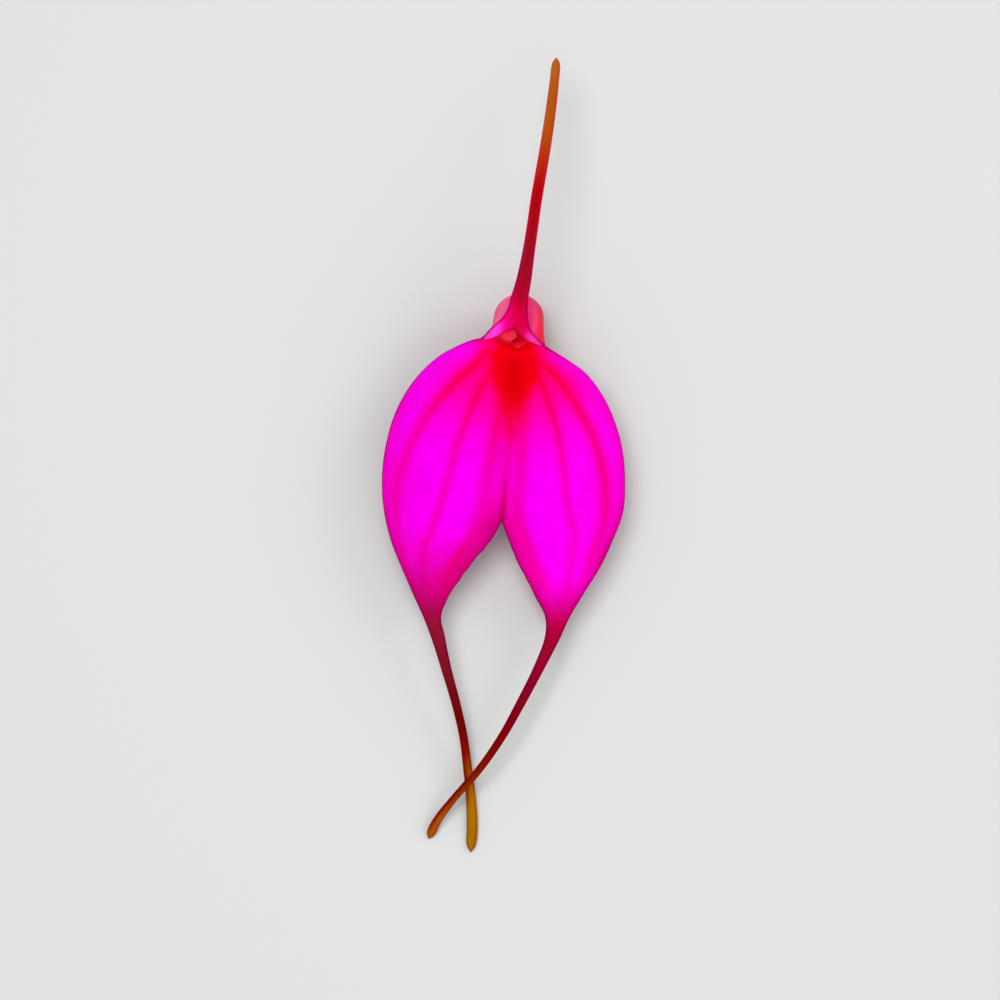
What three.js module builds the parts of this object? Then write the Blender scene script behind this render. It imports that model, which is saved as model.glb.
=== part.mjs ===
// A masdevallia flower, picked with a short stem and lying on its back.
//
// Its three sepals are grown together into a tube behind the mouth. In front of the mouth they spread
// into one narrow dorsal sepal and two broad lateral sepals, which share a seam down to a notch, and
// each sepal is drawn out into a long tail. Two small petals, the lip and the column sit in the tube.
//
// Millimetres, +Z up. The flower lies on the plane Z = 0, and +Y is the way its dorsal sepal points.
import * as THREE from 'three'

// ---------- Driving dimensions ----------
const FLOWER_PLACE = [1.7, 16] // X and Y of the mouth, which centres the whole flower on the origin
const MOUTH_HEIGHT = 13.9 // of the middle of the mouth above the surface
const FACE_TILT = 8 // degrees that the face of the flower is raised towards the dorsal sepal

const TUBE_THICKNESS = 0.7
const BLADE_THICKNESS = 0.9
const SIDE_THICKNESS = 0.75 // of a blade beside its edges, as a share of its middle
const MARGIN_THICKNESS = 0.6 // of every free edge
const TAIL_THICKNESS = 1.2
const TIP_THICKNESS = 0.6
const TAIL_CROWN = 0.08 // how far a tail's middle stands out of its face, for each width
const DORSAL_CROWN = 0.2 // most that the middle of the dorsal sepal stands out
const PETAL_THICKNESS = 0.6
const VEIN_DEPTH = 0.14 // of the grooves along the veins, below the mean surface
const INSET_SHARE = 0.4 // most that a rounded edge takes of the triangle beside it

const STEM_RADIUS = 1.1
const PEDICEL_RADIUS = 0.75
const OVARY_RADIUS = 1.45
const JOINT_GAP = 0.35 // between pieces that meet

const COLOURS = {
  sepals: '#e3069a',
  petal: '#e9c3cf',
  lip: '#c2426b',
  column: '#efe0dc',
  ovary: '#6f6a3a',
  bract: '#b9b58a',
  stem: '#5f7a38',
}

// ---------- The sepals, in the flower's own frame ----------
// x is to the right and y up the face of the flower, z points out of the mouth, and zero is the middle
// of the mouth. A rung is a cubic curve across a sepal, given by its four control points. Rungs run
// from the closed foot of the tube to the tip of the tail, and turn anticlockwise round the mouth: left
// lateral sepal, right lateral sepal, right half and left half of the dorsal sepal.
const ARC = 0.5523 // handle length of a quarter circle as a cubic curve

const point = (x, y, z) => new THREE.Vector3(x, y, z)
const points = (list) => list.map((xyz) => point(...xyz))
const between = (a, b, part) => a.clone().lerp(b, part)

// Rings of the tube: centre, half width, half depth, and the way from the centre to the roof.
const TUBE_RINGS = [
  { centre: [-0.95, -4.7, -11.85], wide: 0, deep: 0, roof: [0, 0.05, -1] },
  { centre: [-0.93, -4.1, -11.85], wide: 1.9, deep: 1.7, roof: [0, 0.05, -1] },
  { centre: [-0.6, -1.9, -11.75], wide: 2.75, deep: 2.0, roof: [0, 0.1, -1] },
  { centre: [-0.1, 0.7, -11.5], wide: 3.25, deep: 2.35, roof: [0, 0.54, -0.84] },
  { centre: [0.4, 2.85, -10.4], wide: 3.5, deep: 3.1, roof: [0, 0.88, -0.48] },
  { centre: [0.62, 3.4, -8.3], wide: 3.55, deep: 3.4, roof: [0, 1, 0] },
  { centre: [0.6, 2.15, -6.0], wide: 3.55, deep: 3.25, roof: [0, 0.9, 0.43] },
  { centre: [0.25, 0.75, -3.1], wide: 3.9, deep: 2.05, roof: [0, 0.9, 0.43] },
]
const MOUTH = TUBE_RINGS.length // index of the rung that runs round the mouth

// The mouth: the two corners where a lateral and the dorsal sepal part, the floor and the arched roof.
const LEFT_CORNER = point(-4.95, 0.05, -0.8)
const RIGHT_CORNER = point(4.35, -1.0, -0.8)
const MOUTH_FLOOR = point(-0.2, -2.7, -2.4)
const MOUTH_ROOF = point(0, 1.9, -1.5)
// The rung of each strip round the mouth: its two ends, each with the way to the control point next to it.
const MOUTH_RUNGS = {
  left: [LEFT_CORNER, [0.4, -1.3, -0.8], MOUTH_FLOOR, [-2.2, 0.1, 0.4]],
  right: [MOUTH_FLOOR, [2.2, 0.1, 0.4], RIGHT_CORNER, [-0.1, -1.6, -0.7]],
  dorsalRight: [RIGHT_CORNER, [-1.3, 0.35, -0.7], MOUTH_ROOF, [0.9, -1.7, 0]],
  dorsalLeft: [MOUTH_ROOF, [-1.3, -0.1, 0], LEFT_CORNER, [1.9, -0.1, -0.7]],
}

// Lateral sepals, from the mouth to the start of the tail. Each row gives the outer margin, the height
// of the crown near the outer and near the inner margin, and how far the crown leans to the outer one.
// The matching inner margins are the seam down to the notch, and then each sepal's own.
const LEFT_OUTER = [
  [-6.5, -0.25, -1.0, 0.3, -0.2, 0],
  [-8.7, -1.15, -1.6, 1.1, 0.4, 0],
  [-11.75, -2.9, -2.2, 2.0, 0.9, 0],
  [-15.35, -6.5, -2.8, 2.4, 1.1, 0],
  [-18.1, -11.3, -3.2, 2.4, 1.4, 0],
  [-19.6, -16.75, -3.3, 2.4, 1.8, 0],
  [-20.05, -21.3, -3.2, 2.3, 1.9, 0],
  [-19.75, -25.8, -3.0, 2.1, 2.0, 0],
  [-18.7, -30.3, -2.7, 1.8, 1.9, -0.05],
  [-17.0, -34.55, -2.4, 1.4, 1.6, -0.1],
  [-15.2, -38.6, -2.1, 0.8, 0.9, -0.06],
  [-13.7, -41.9, -1.9, 0.3, 0.3, 0],
]
const RIGHT_OUTER = [
  [5.55, -1.75, -1.0, 0.3, -0.2, 0],
  [7.7, -3.1, -1.6, 1.1, 0.4, 0],
  [10.7, -5.3, -2.2, 2.0, 0.9, 0],
  [13.15, -8.5, -2.8, 2.4, 1.1, 0],
  [14.95, -12.2, -3.2, 2.4, 1.4, 0],
  [16.15, -16.45, -3.3, 2.4, 1.8, 0],
  [16.6, -21.3, -3.2, 2.3, 1.9, 0],
  [16.3, -26.1, -3.0, 2.1, 2.0, 0],
  [14.65, -30.6, -2.7, 1.8, 1.9, 0],
  [12.8, -34.5, -2.4, 1.4, 1.6, 0],
  [10.7, -37.85, -2.1, 0.8, 0.9, 0],
  [8.45, -41.5, -1.9, 0.3, 0.3, 0],
]
const SEAM = [
  [-0.25, -4.1, -1.8],
  [-0.3, -6.0, -1.0],
  [-0.45, -9.3, -0.1],
  [-0.75, -13.8, 0.4],
  [-1.2, -19.0, 0.3],
  [-1.65, -24.3, -0.1],
  [-2.0, -27.6, -0.4],
]
const LEFT_INNER = [
  [-3.75, -30.6, -1.2],
  [-5.85, -33.0, -1.8],
  [-7.7, -35.45, -2.0],
  [-9.95, -38.75, -1.9],
  [-11.15, -41.75, -1.8],
]
const RIGHT_INNER = [
  [-0.75, -30.9, -1.2],
  [0.45, -33.8, -1.8],
  [1.8, -36.3, -2.0],
  [3.15, -39.05, -1.9],
  [4.5, -41.75, -1.8],
]
const NOTCH = MOUTH + SEAM.length // index of the rung whose inner end is the notch
const TAIL_START = MOUTH + LEFT_OUTER.length // index of the last rung before a lateral tail

// Dorsal sepal, from the mouth to the start of its tail: right margin, middle line, left margin.
const DORSAL = [
  [[2.45, 1.2, -0.3], [0.15, 3.0, -0.4], [-3.55, 1.6, -0.2]],
  [[1.98, 2.75, 0], [0.4, 4.1, -0.05], [-2.05, 2.95, 0.1]],
  [[1.88, 4.2, 0.15], [0.6, 5.2, 0], [-1.15, 4.3, 0.15]],
  [[1.95, 5.8, 0.1], [0.8, 6.4, 0.05], [-0.6, 6.0, 0.1]],
  [[2.35, 8.5, 0.1], [1.3, 8.8, 0.1], [0.3, 8.8, 0.1]],
]
const DORSAL_TAIL_START = MOUTH + DORSAL.length

// Tails of the lateral sepals: x and y down the middle, the height of the middle over the surface that
// the flower lies on, and the half width. Both end on that surface.
const LEFT_TAIL = [
  [-11.5, -45.1, 6.0, 0.95],
  [-10.25, -49.9, 5.5, 0.7],
  [-8.9, -54.75, 4.6, 0.61],
  [-7.8, -59.65, 3.3, 0.59],
  [-7.15, -64.5, 2.0, 0.64],
  [-6.6, -69.7, 1.0, 0.73],
  [-6.45, -73.6, 0.6, 0.8],
  [-6.6, -76.4, 0.35, 0.64],
  [-6.65, -77.4, 0.25, 0],
]
const RIGHT_TAIL = [
  [5.55, -45.1, 6.2, 1.05],
  [3.4, -49.9, 6.1, 0.72],
  [0.9, -54.7, 6.0, 0.63],
  [-1.8, -59.55, 5.5, 0.56],
  [-5.15, -64.45, 4.6, 0.53],
  [-9.2, -69.2, 2.9, 0.53],
  [-11.6, -72.4, 1.5, 0.62],
  [-12.7, -74.6, 0.5, 0.6],
  [-13.05, -75.4, 0.25, 0],
]
// The dorsal sepal's tail stands in the air: x, y and z down the middle, and the half width.
const DORSAL_TAIL = [
  [2.0, 12.6, 0.1, 0.82],
  [2.55, 16.2, 0.1, 0.77],
  [3.25, 21.05, -0.5, 0.77],
  [4.1, 25.95, -1.7, 0.78],
  [5.1, 32.2, -4.3, 0.76],
  [5.95, 38.8, -7.7, 0.68],
  [6.3, 42.3, -9.7, 0.52],
  [6.38, 43.2, -10.2, 0],
]

const COLUMNS = { tube: 6, blade: 12, tail: 4 } // quads across a lateral sepal
const DORSAL_COLUMNS = { tube: 5, blade: 5, tail: 2 } // quads across half of the dorsal sepal
const VEINS = 3 // in each lateral sepal

// ---------- From the driving dimensions to solids ----------
const flower = new THREE.Group()
flower.position.set(FLOWER_PLACE[0], FLOWER_PLACE[1], MOUTH_HEIGHT)
flower.rotation.x = THREE.MathUtils.degToRad(FACE_TILT)
flower.updateMatrixWorld()
const surfaceNormal = point(0, 0, 1).transformDirection(flower.matrixWorld.clone().invert())

// The z of a point of the flower's frame at a given y and height over the surface.
function zAtHeight(y, height) {
  return (height - MOUTH_HEIGHT - y * Math.sin(flower.rotation.x)) / Math.cos(flower.rotation.x)
}

// A point of the flower that would be under the surface is pressed flat on it.
function settled(spot) {
  const height = spot.clone().applyMatrix4(flower.matrixWorld).z
  return height < 0 ? spot.clone().addScaledVector(surfaceNormal, -height) : spot
}

// A smooth line through the same control point of successive rungs, with a corner at one of them if
// one is given.
function lineThrough(spots, corner = 0) {
  const pieces = [spots.slice(0, corner + 1), spots.slice(corner)].map((piece) =>
    piece.length > 1 ? new THREE.CatmullRomCurve3(piece, false, 'centripetal') : null)
  return (at) => {
    const second = at > corner || !pieces[0]
    const curve = pieces[second ? 1 : 0]
    const from = second ? corner : 0
    return curve.getPoint((at - from) / (curve.points.length - 1))
  }
}

function onCubic([a, b, c, d], t) {
  const u = 1 - t
  return a.clone().multiplyScalar(u * u * u)
    .addScaledVector(b, 3 * u * u * t)
    .addScaledVector(c, 3 * u * t * t)
    .addScaledVector(d, t * t * t)
}

// The middle surface of a thin piece: points with a thickness each, joined into triangles whose fronts
// face the viewer of the flower, or the inside of the tube.
class Skin {
  points = []
  thickness = []
  triangles = []
  known = new Map()

  vertex(spot, thickness) {
    const key = spot.toArray().map((value) => value.toFixed(4)).join()
    if (!this.known.has(key)) {
      this.known.set(key, this.points.length)
      this.points.push(spot)
      this.thickness.push(thickness)
    }
    return this.known.get(key)
  }

  triangle(a, b, c) {
    if (a !== b && b !== c && c !== a) this.triangles.push([a, b, c])
  }

  // Joins two rows of vertices, which may differ in number.
  stitch(near, far) {
    const nearSteps = near.length - 1
    const farSteps = far.length - 1
    let i = 0
    let j = 0
    while (i < nearSteps || j < farSteps) {
      if ((j + 0.5) / farSteps <= (i + 0.5) / nearSteps) {
        this.triangle(near[i], far[j], far[j + 1])
        j += 1
      } else {
        this.triangle(near[i], far[j], near[i + 1])
        i += 1
      }
    }
  }

  normals() {
    const normals = this.points.map(() => point(0, 0, 0))
    for (const [a, b, c] of this.triangles) {
      const [p, q, r] = [a, b, c].map((index) => this.points[index])
      const face = q.clone().sub(p).cross(r.clone().sub(p))
      for (const index of [a, b, c]) normals[index].add(face)
    }
    return normals.map((normal) => normal.normalize())
  }

  // Edges that only one triangle has, in that triangle's order.
  margin() {
    const edges = new Map()
    for (const [a, b, c] of this.triangles) {
      for (const [from, to] of [[a, b], [b, c], [c, a]]) {
        if (!edges.delete(`${to} ${from}`)) edges.set(`${from} ${to}`, [from, to])
      }
    }
    return [...edges.values()]
  }

  // The closed solid: a front and a back half a thickness off the skin, and a rounded free edge.
  solid(finish = (spot) => spot) {
    const normals = this.normals()
    const margin = this.margin()
    const outward = new Map()
    const inset = new Map()
    for (const [a, b] of margin) {
      const along = this.points[b].clone().sub(this.points[a])
      for (const index of [a, b]) {
        const out = along.clone().cross(normals[index])
        outward.set(index, out.add(outward.get(index) ?? point(0, 0, 0)))
        inset.set(index, MARGIN_THICKNESS / 2)
      }
    }
    for (const [a, b, c] of this.triangles) {
      for (const [from, to] of [[a, b], [b, c], [c, a], [b, a], [c, b], [a, c]]) {
        if (!inset.has(from)) continue
        const width = this.points[from].distanceTo(this.points[to])
        inset.set(from, Math.min(inset.get(from), INSET_SHARE * width))
      }
    }
    const corners = []
    const faces = []
    const front = []
    const back = []
    const rim = new Map()
    this.points.forEach((spot, index) => {
      const base = spot.clone()
      let half = this.thickness[index] / 2
      if (outward.has(index)) {
        const out = outward.get(index).normalize()
        rim.set(index, corners.push(finish(spot.clone())) - 1)
        base.addScaledVector(out, -inset.get(index))
        half = Math.min(half, MARGIN_THICKNESS / 2)
      }
      front.push(corners.push(finish(base.clone().addScaledVector(normals[index], half))) - 1)
      back.push(corners.push(finish(base.clone().addScaledVector(normals[index], -half))) - 1)
    })
    for (const [a, b, c] of this.triangles) {
      faces.push([front[a], front[b], front[c]], [back[a], back[c], back[b]])
    }
    for (const [a, b] of margin) {
      const [ra, rb] = [rim.get(a), rim.get(b)]
      faces.push([front[b], front[a], ra], [front[b], ra, rb])
      faces.push([rb, ra, back[a]], [rb, back[a], back[b]])
    }
    return geometry(corners, faces)
  }
}

function geometry(corners, faces) {
  const shape = new THREE.BufferGeometry()
  shape.setAttribute('position',
    new THREE.Float32BufferAttribute(corners.flatMap((corner) => corner.toArray()), 3))
  shape.setIndex(faces.flat())
  shape.computeVertexNormals()
  return shape
}

// A closed solid through rings of corners, with flat ends.
function loft(rings) {
  const corners = rings.flat()
  const sides = rings[0].length
  const faces = []
  for (let row = 0; row < rings.length - 1; row += 1) {
    for (let side = 0; side < sides; side += 1) {
      const next = (side + 1) % sides
      const [a, b] = [row * sides + side, row * sides + next]
      faces.push([a, b, b + sides], [a, b + sides, a + sides])
    }
  }
  for (const [row, ring] of [[0, rings[0]], [rings.length - 1, rings.at(-1)]]) {
    const middle = ring.reduce((sum, corner) => sum.add(corner), point(0, 0, 0)).divideScalar(sides)
    const centre = corners.push(middle) - 1
    for (let side = 0; side < sides; side += 1) {
      const edge = [row * sides + side, row * sides + (side + 1) % sides]
      faces.push([centre, ...(row === 0 ? edge.reverse() : edge)])
    }
  }
  return geometry(corners, faces)
}

function part(name, shape, colour, roughness = 0.5) {
  const mesh = new THREE.Mesh(shape, new THREE.MeshStandardMaterial({ color: colour, roughness }))
  mesh.name = name
  return mesh
}

// ---------- Sepals ----------
function tubeRungs() {
  const rungs = { left: [], right: [], dorsalRight: [], dorsalLeft: [] }
  for (const ring of TUBE_RINGS) {
    const centre = point(...ring.centre)
    const side = point(ring.wide, 0, 0)
    const roof = point(...ring.roof).normalize().multiplyScalar(ring.deep)
    const quarter = (from, to) => [
      centre.clone().add(from),
      centre.clone().add(from).addScaledVector(to, ARC),
      centre.clone().add(to).addScaledVector(from, ARC),
      centre.clone().add(to),
    ]
    const [left, floor] = [side.clone().negate(), roof.clone().negate()]
    rungs.left.push(quarter(left, floor))
    rungs.right.push(quarter(floor, side))
    rungs.dorsalRight.push(quarter(side, roof))
    rungs.dorsalLeft.push(quarter(roof, left))
  }
  return rungs
}

function mouthRungs(rungs) {
  for (const [strip, [from, wayFrom, to, wayTo]] of Object.entries(MOUTH_RUNGS)) {
    rungs[strip].push([from, from.clone().add(point(...wayFrom)), to.clone().add(point(...wayTo)), to])
  }
}

function bladeRung(from, to, crownFrom, crownTo, lean) {
  const third = between(from, to, 1 / 3 + lean)
  const twoThirds = between(from, to, 2 / 3 + lean)
  return [from, third.add(point(0, 0, crownFrom)), twoThirds.add(point(0, 0, crownTo)), to]
}

function lateralRungs(rungs) {
  const inner = { left: points([...SEAM, ...LEFT_INNER]), right: points([...SEAM, ...RIGHT_INNER]) }
  LEFT_OUTER.forEach(([x, y, z, crownOuter, crownInner, lean], row) => {
    rungs.left.push(bladeRung(point(x, y, z), inner.left[row], crownOuter, crownInner, lean))
  })
  RIGHT_OUTER.forEach(([x, y, z, crownOuter, crownInner, lean], row) => {
    rungs.right.push(bladeRung(inner.right[row], point(x, y, z), crownInner, crownOuter, -lean))
  })
}

// Half widths to either side of a tail's middle line, square to it and across the face.
function tailSides(tail, before) {
  const middle = points(tail.map(([x, y, z]) => [x, y, z]))
  return middle.map((spot, row) => {
    const ahead = (middle[row + 1] ?? spot).clone().sub(row > 0 ? middle[row - 1] : before)
    const side = point(0, 0, 1).cross(ahead).normalize().multiplyScalar(tail[row][3])
    return [spot.clone().sub(side), spot, spot.clone().add(side)]
  })
}

function lateralTail(rungs, tail, start) {
  const before = between(start[0], start[3], 0.5)
  const standing = tail.map(([x, y, height, half]) => [x, y, zAtHeight(y, height), half])
  for (const [near, , far] of tailSides(standing, before)) {
    const crown = TAIL_CROWN * near.distanceTo(far)
    rungs.push(bladeRung(near, far, crown, crown, 0))
  }
}

function dorsalRungs(rungs) {
  const rows = DORSAL.map((row) => points(row))
  for (const [right, middle, left] of [...rows, ...tailSides(DORSAL_TAIL, rows.at(-1)[1])]) {
    const crown = Math.min(DORSAL_CROWN, TAIL_CROWN * right.distanceTo(left))
    const top = middle.clone().add(point(0, 0, crown))
    rungs.dorsalRight.push(bladeRung(right, top, crown / 3, crown / 3, 0))
    rungs.dorsalLeft.push(bladeRung(top, left, crown / 3, crown / 3, 0))
  }
}

// Rows of a sepal: where each runs, counted in rungs, and its columns.
function sepalRows(columns, tailStart, end) {
  const rows = []
  for (let at = 0; at < MOUTH; at += 0.5) rows.push({ at, columns: columns.tube })
  for (let at = MOUTH; at <= tailStart; at += 0.5) rows.push({ at, columns: columns.blade })
  for (let at = tailStart + 0.5; at <= end; at += 0.5) rows.push({ at, columns: columns.tail })
  return rows
}

// How much of a full groove the veins have at a row: none in the tube, and none in the tail.
function veinStrength(at) {
  const { smoothstep } = THREE.MathUtils
  return smoothstep(at, MOUTH + 1, MOUTH + 4) * (1 - smoothstep(at, TAIL_START - 3, TAIL_START))
}

// Thickness along a sepal's middle, which changes evenly between these rungs.
function thicknessAt(at, tailStart, end) {
  const stops = [
    [0, TUBE_THICKNESS], [MOUTH + 1, TUBE_THICKNESS], [MOUTH + 3, BLADE_THICKNESS],
    [tailStart - 1, BLADE_THICKNESS], [tailStart + 1, TAIL_THICKNESS], [end, TIP_THICKNESS],
  ]
  const next = Math.max(1, stops.findIndex(([stop]) => at <= stop))
  const [[from, before], [to, after]] = [stops[next - 1], stops[next]]
  return THREE.MathUtils.mapLinear(at, from, to, before, after)
}

function addSepal(skin, rungs, corners, rows, { tailStart, veins, across }) {
  const end = rungs.length - 1
  const lines = [0, 1, 2, 3].map((index) => {
    return lineThrough(rungs.map((rung) => rung[index]), corners[index])
  })
  let last = null
  for (const { at, columns } of rows) {
    const controls = lines.map((line) => line(at))
    const row = []
    for (let column = 0; column <= columns; column += 1) {
      const t = column / columns
      const spot = onCubic(controls, t)
      const wave = Math.cos((2 * t * VEINS - 1) * Math.PI) * Math.sin(Math.PI * t)
      if (veins) spot.z -= VEIN_DEPTH * wave * veinStrength(at)
      const share = at <= MOUTH ? 1 : THREE.MathUtils.lerp(SIDE_THICKNESS, 1, across(t))
      row.push(skin.vertex(spot, share * thicknessAt(at, tailStart, end)))
    }
    if (last) skin.stitch(last, row)
    last = row
  }
}

function sepals() {
  const rungs = tubeRungs()
  mouthRungs(rungs)
  lateralRungs(rungs)
  lateralTail(rungs.left, LEFT_TAIL, rungs.left.at(-1))
  lateralTail(rungs.right, RIGHT_TAIL, rungs.right.at(-1))
  dorsalRungs(rungs)

  const skin = new Skin()
  const lateral = { tailStart: TAIL_START, veins: true, across: (t) => Math.sin(Math.PI * t) }
  const lateralRows = sepalRows(COLUMNS, TAIL_START, rungs.left.length - 1)
  addSepal(skin, rungs.left, [MOUTH, 0, 0, NOTCH], lateralRows, lateral)
  addSepal(skin, rungs.right, [NOTCH, 0, 0, MOUTH], lateralRows, lateral)
  const dorsalRows = sepalRows(DORSAL_COLUMNS, DORSAL_TAIL_START, rungs.dorsalLeft.length - 1)
  const dorsal = { tailStart: DORSAL_TAIL_START, veins: false }
  addSepal(skin, rungs.dorsalRight, [MOUTH, 0, 0, 0], dorsalRows,
    { ...dorsal, across: (t) => Math.sin(Math.PI * t / 2) })
  addSepal(skin, rungs.dorsalLeft, [0, 0, 0, MOUTH], dorsalRows,
    { ...dorsal, across: (t) => Math.cos(Math.PI * t / 2) })
  return part('sepals', skin.solid(settled), COLOURS.sepals)
}

// ---------- Petals, lip and column, inside the tube ----------
// A place in the tube or the mouth: how far along the rings, and how far across and towards the roof.
const tubeMiddle = lineThrough([
  ...TUBE_RINGS.map(({ centre }) => point(...centre)), between(MOUTH_FLOOR, MOUTH_ROOF, 0.5)])
const tubeRoof = lineThrough([
  ...TUBE_RINGS.map(({ roof }) => point(...roof)), MOUTH_ROOF.clone().sub(MOUTH_FLOOR).normalize()])
function inTube(ring, across, up) {
  return tubeMiddle(ring).add(point(across, 0, 0)).addScaledVector(tubeRoof(ring).normalize(), up)
}

// A thin blade from rows of its two edges, bulged a little to its front in between.
function blade(rows, bulge, columns, thickness) {
  const skin = new Skin()
  let last = null
  for (const [near, far, way] of rows) {
    const lift = way.clone().multiplyScalar(bulge)
    const rung = [near, between(near, far, 1 / 3).add(lift), between(near, far, 2 / 3).add(lift), far]
    const row = []
    for (let column = 0; column <= columns; column += 1) {
      row.push(skin.vertex(onCubic(rung, column / columns), thickness))
    }
    if (last) skin.stitch(last, row)
    last = row
  }
  return skin.solid()
}

// Each row: ring of the tube, offset across, height towards the roof, half width, and how many degrees
// the blade is turned, with its lower edge outwards. The left petal reaches into the mouth.
const PETAL_ROWS = [
  [1.6, 1.2, 0.1, 0.5, 0],
  [2.2, 1.45, 0.05, 0.75, 0],
  [2.9, 1.65, -0.15, 0.9, 5],
  [3.7, 1.85, -0.3, 0.9, 10],
  [4.5, 2.0, -0.35, 0.85, 20],
  [5.3, 2.0, -0.25, 0.85, 30],
  [6.1, 1.8, 0, 0.85, 45],
  [6.8, 1.5, 0.4, 0.85, 65],
  [7.25, 1.1, 0.7, 0.95, 80],
  [7.6, 0.9, 0.6, 1.1, 88],
  [7.8, 0.85, 0.2, 1.05, 90],
  [7.85, 0.85, -0.15, 0.75, 90],
]
const RIGHT_PETAL_END = 8 // rows of the right petal, which is shorter
function petal(name, hand, table) {
  const rows = table.map(([ring, across, up, half, turn]) => {
    const [out, rise] = [half * Math.sin(THREE.MathUtils.degToRad(turn)),
      half * Math.cos(THREE.MathUtils.degToRad(turn))]
    const edges = [inTube(ring, hand * (across + out), up - rise), inTube(ring, hand * (across - out), up + rise)]
    return [...(hand > 0 ? edges : edges.reverse()), point(-hand, 0, 0)]
  })
  return part(name, blade(rows, 0.25, 2, PETAL_THICKNESS), COLOURS.petal)
}

// Each row: ring of the tube, offset across, height towards the roof and half width.
const LIP_ROWS = [
  [1.7, 0, -0.95, 0.5],
  [2.3, 0, -1.05, 0.75],
  [3.0, 0, -1.25, 0.95],
  [3.7, 0, -1.6, 0.9],
  [4.4, 0, -1.8, 0.9],
  [5.1, 0, -1.95, 0.95],
  [5.9, 0, -1.75, 1.0],
  [6.6, 0.1, -1.2, 1.05],
  [7.1, 0.3, -1.0, 1.1],
  [7.5, 0.5, -1.05, 1.1],
  [7.95, 0.5, -1.2, 0.75],
]
function lip() {
  const rows = LIP_ROWS.map(([ring, across, up, half]) => {
    return [inTube(ring, across - half, up), inTube(ring, across + half, up), tubeRoof(ring).normalize()]
  })
  return part('lip', blade(rows, 0.3, 4, PETAL_THICKNESS + 0.1), COLOURS.lip)
}

// Each row: ring of the tube, height towards the roof and radius.
const COLUMN_RINGS = [
  [1.55, 0.3, 0.5],
  [2.2, 0.4, 0.55],
  [3.0, 0.45, 0.65],
  [4.0, 0.35, 0.75],
  [5.0, 0.3, 0.8],
  [5.6, 0.3, 0.8],
  [5.9, 0.25, 0.5],
]
const COLUMN_SIDES = 12
function column() {
  const rings = COLUMN_RINGS.map(([ring, up, radius]) => {
    return Array.from({ length: COLUMN_SIDES }, (_, side) => {
      const turn = side / COLUMN_SIDES * 2 * Math.PI
      return inTube(ring, radius * Math.cos(turn), up + radius * Math.sin(turn))
    })
  })
  return part('column', loft(rings), COLOURS.column)
}

// ---------- Ovary, bract and stem, lying on the surface ----------
const tubeFoot = point(...TUBE_RINGS[0].centre).applyMatrix4(flower.matrixWorld)

// A round stalk along a path. Each stop gives where its middle is, from the tube's foot, and its
// radius; a flat underside lies on the surface.
function stalk(stops, sides, shape = () => 1) {
  const path = new THREE.CatmullRomCurve3(points(stops.map(([x, y, z]) => [x, y, z])), false, 'centripetal')
  const steps = (stops.length - 1) * 2
  return Array.from({ length: steps + 1 }, (_, step) => {
    const at = step / steps
    const middle = path.getPoint(at)
    const ahead = path.getTangent(at).setZ(0).normalize()
    const across = point(-ahead.y, ahead.x, 0)
    const place = at * (stops.length - 1)
    const stop = Math.min(Math.floor(place), stops.length - 2)
    const radius = THREE.MathUtils.lerp(stops[stop][3], stops[stop + 1][3], place - stop)
    return Array.from({ length: sides }, (_, side) => {
      const turn = side / sides * 2 * Math.PI
      const reach = radius * shape(turn, at)
      const corner = middle.clone().addScaledVector(across, reach * Math.sin(turn))
      corner.z = Math.max(0, corner.z - reach * Math.cos(turn))
      return corner
    })
  })
}

const OVARY_LENGTH = 6.5
const PEDICEL_LENGTH = 7
const STEM_LENGTH = 22

const footX = tubeFoot.x
const footY = tubeFoot.y - JOINT_GAP - BLADE_THICKNESS / 2
const pedicelFootY = footY - OVARY_LENGTH - PEDICEL_LENGTH
const stemTopY = pedicelFootY - JOINT_GAP

// The ovary runs into its thin stalk, the pedicel. Each row: how far down from its top, sideways,
// height of its middle, and radius.
const OVARY_ROWS = [
  [0, 0, tubeFoot.z, OVARY_RADIUS - 0.2],
  [0.25 * OVARY_LENGTH, -0.1, OVARY_RADIUS + 0.35, OVARY_RADIUS],
  [0.7 * OVARY_LENGTH, -0.25, OVARY_RADIUS + 0.1, OVARY_RADIUS - 0.15],
  [OVARY_LENGTH, -0.35, 1.35, PEDICEL_RADIUS + 0.1],
  [OVARY_LENGTH + 0.5 * PEDICEL_LENGTH, -0.3, 1.25, PEDICEL_RADIUS],
  [OVARY_LENGTH + PEDICEL_LENGTH, 0.1, 1.2, PEDICEL_RADIUS],
]
const OVARY_SIDES = 24
const RIBS = 6
const RIB_HEIGHT = 0.13 // as a share of the radius
const RIB_END = 0.62 // how far down the ovary and pedicel the ribs fade out
function ovary() {
  const stops = OVARY_ROWS.map(([down, x, z, radius]) => [footX + x, footY - down, z, radius])
  const ribs = (turn, at) => 1 + RIB_HEIGHT * Math.cos(RIBS * turn) * Math.max(0, 1 - at / RIB_END)
  return part('ovary', loft(stalk(stops, OVARY_SIDES, ribs)), COLOURS.ovary, 0.6)
}

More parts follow.
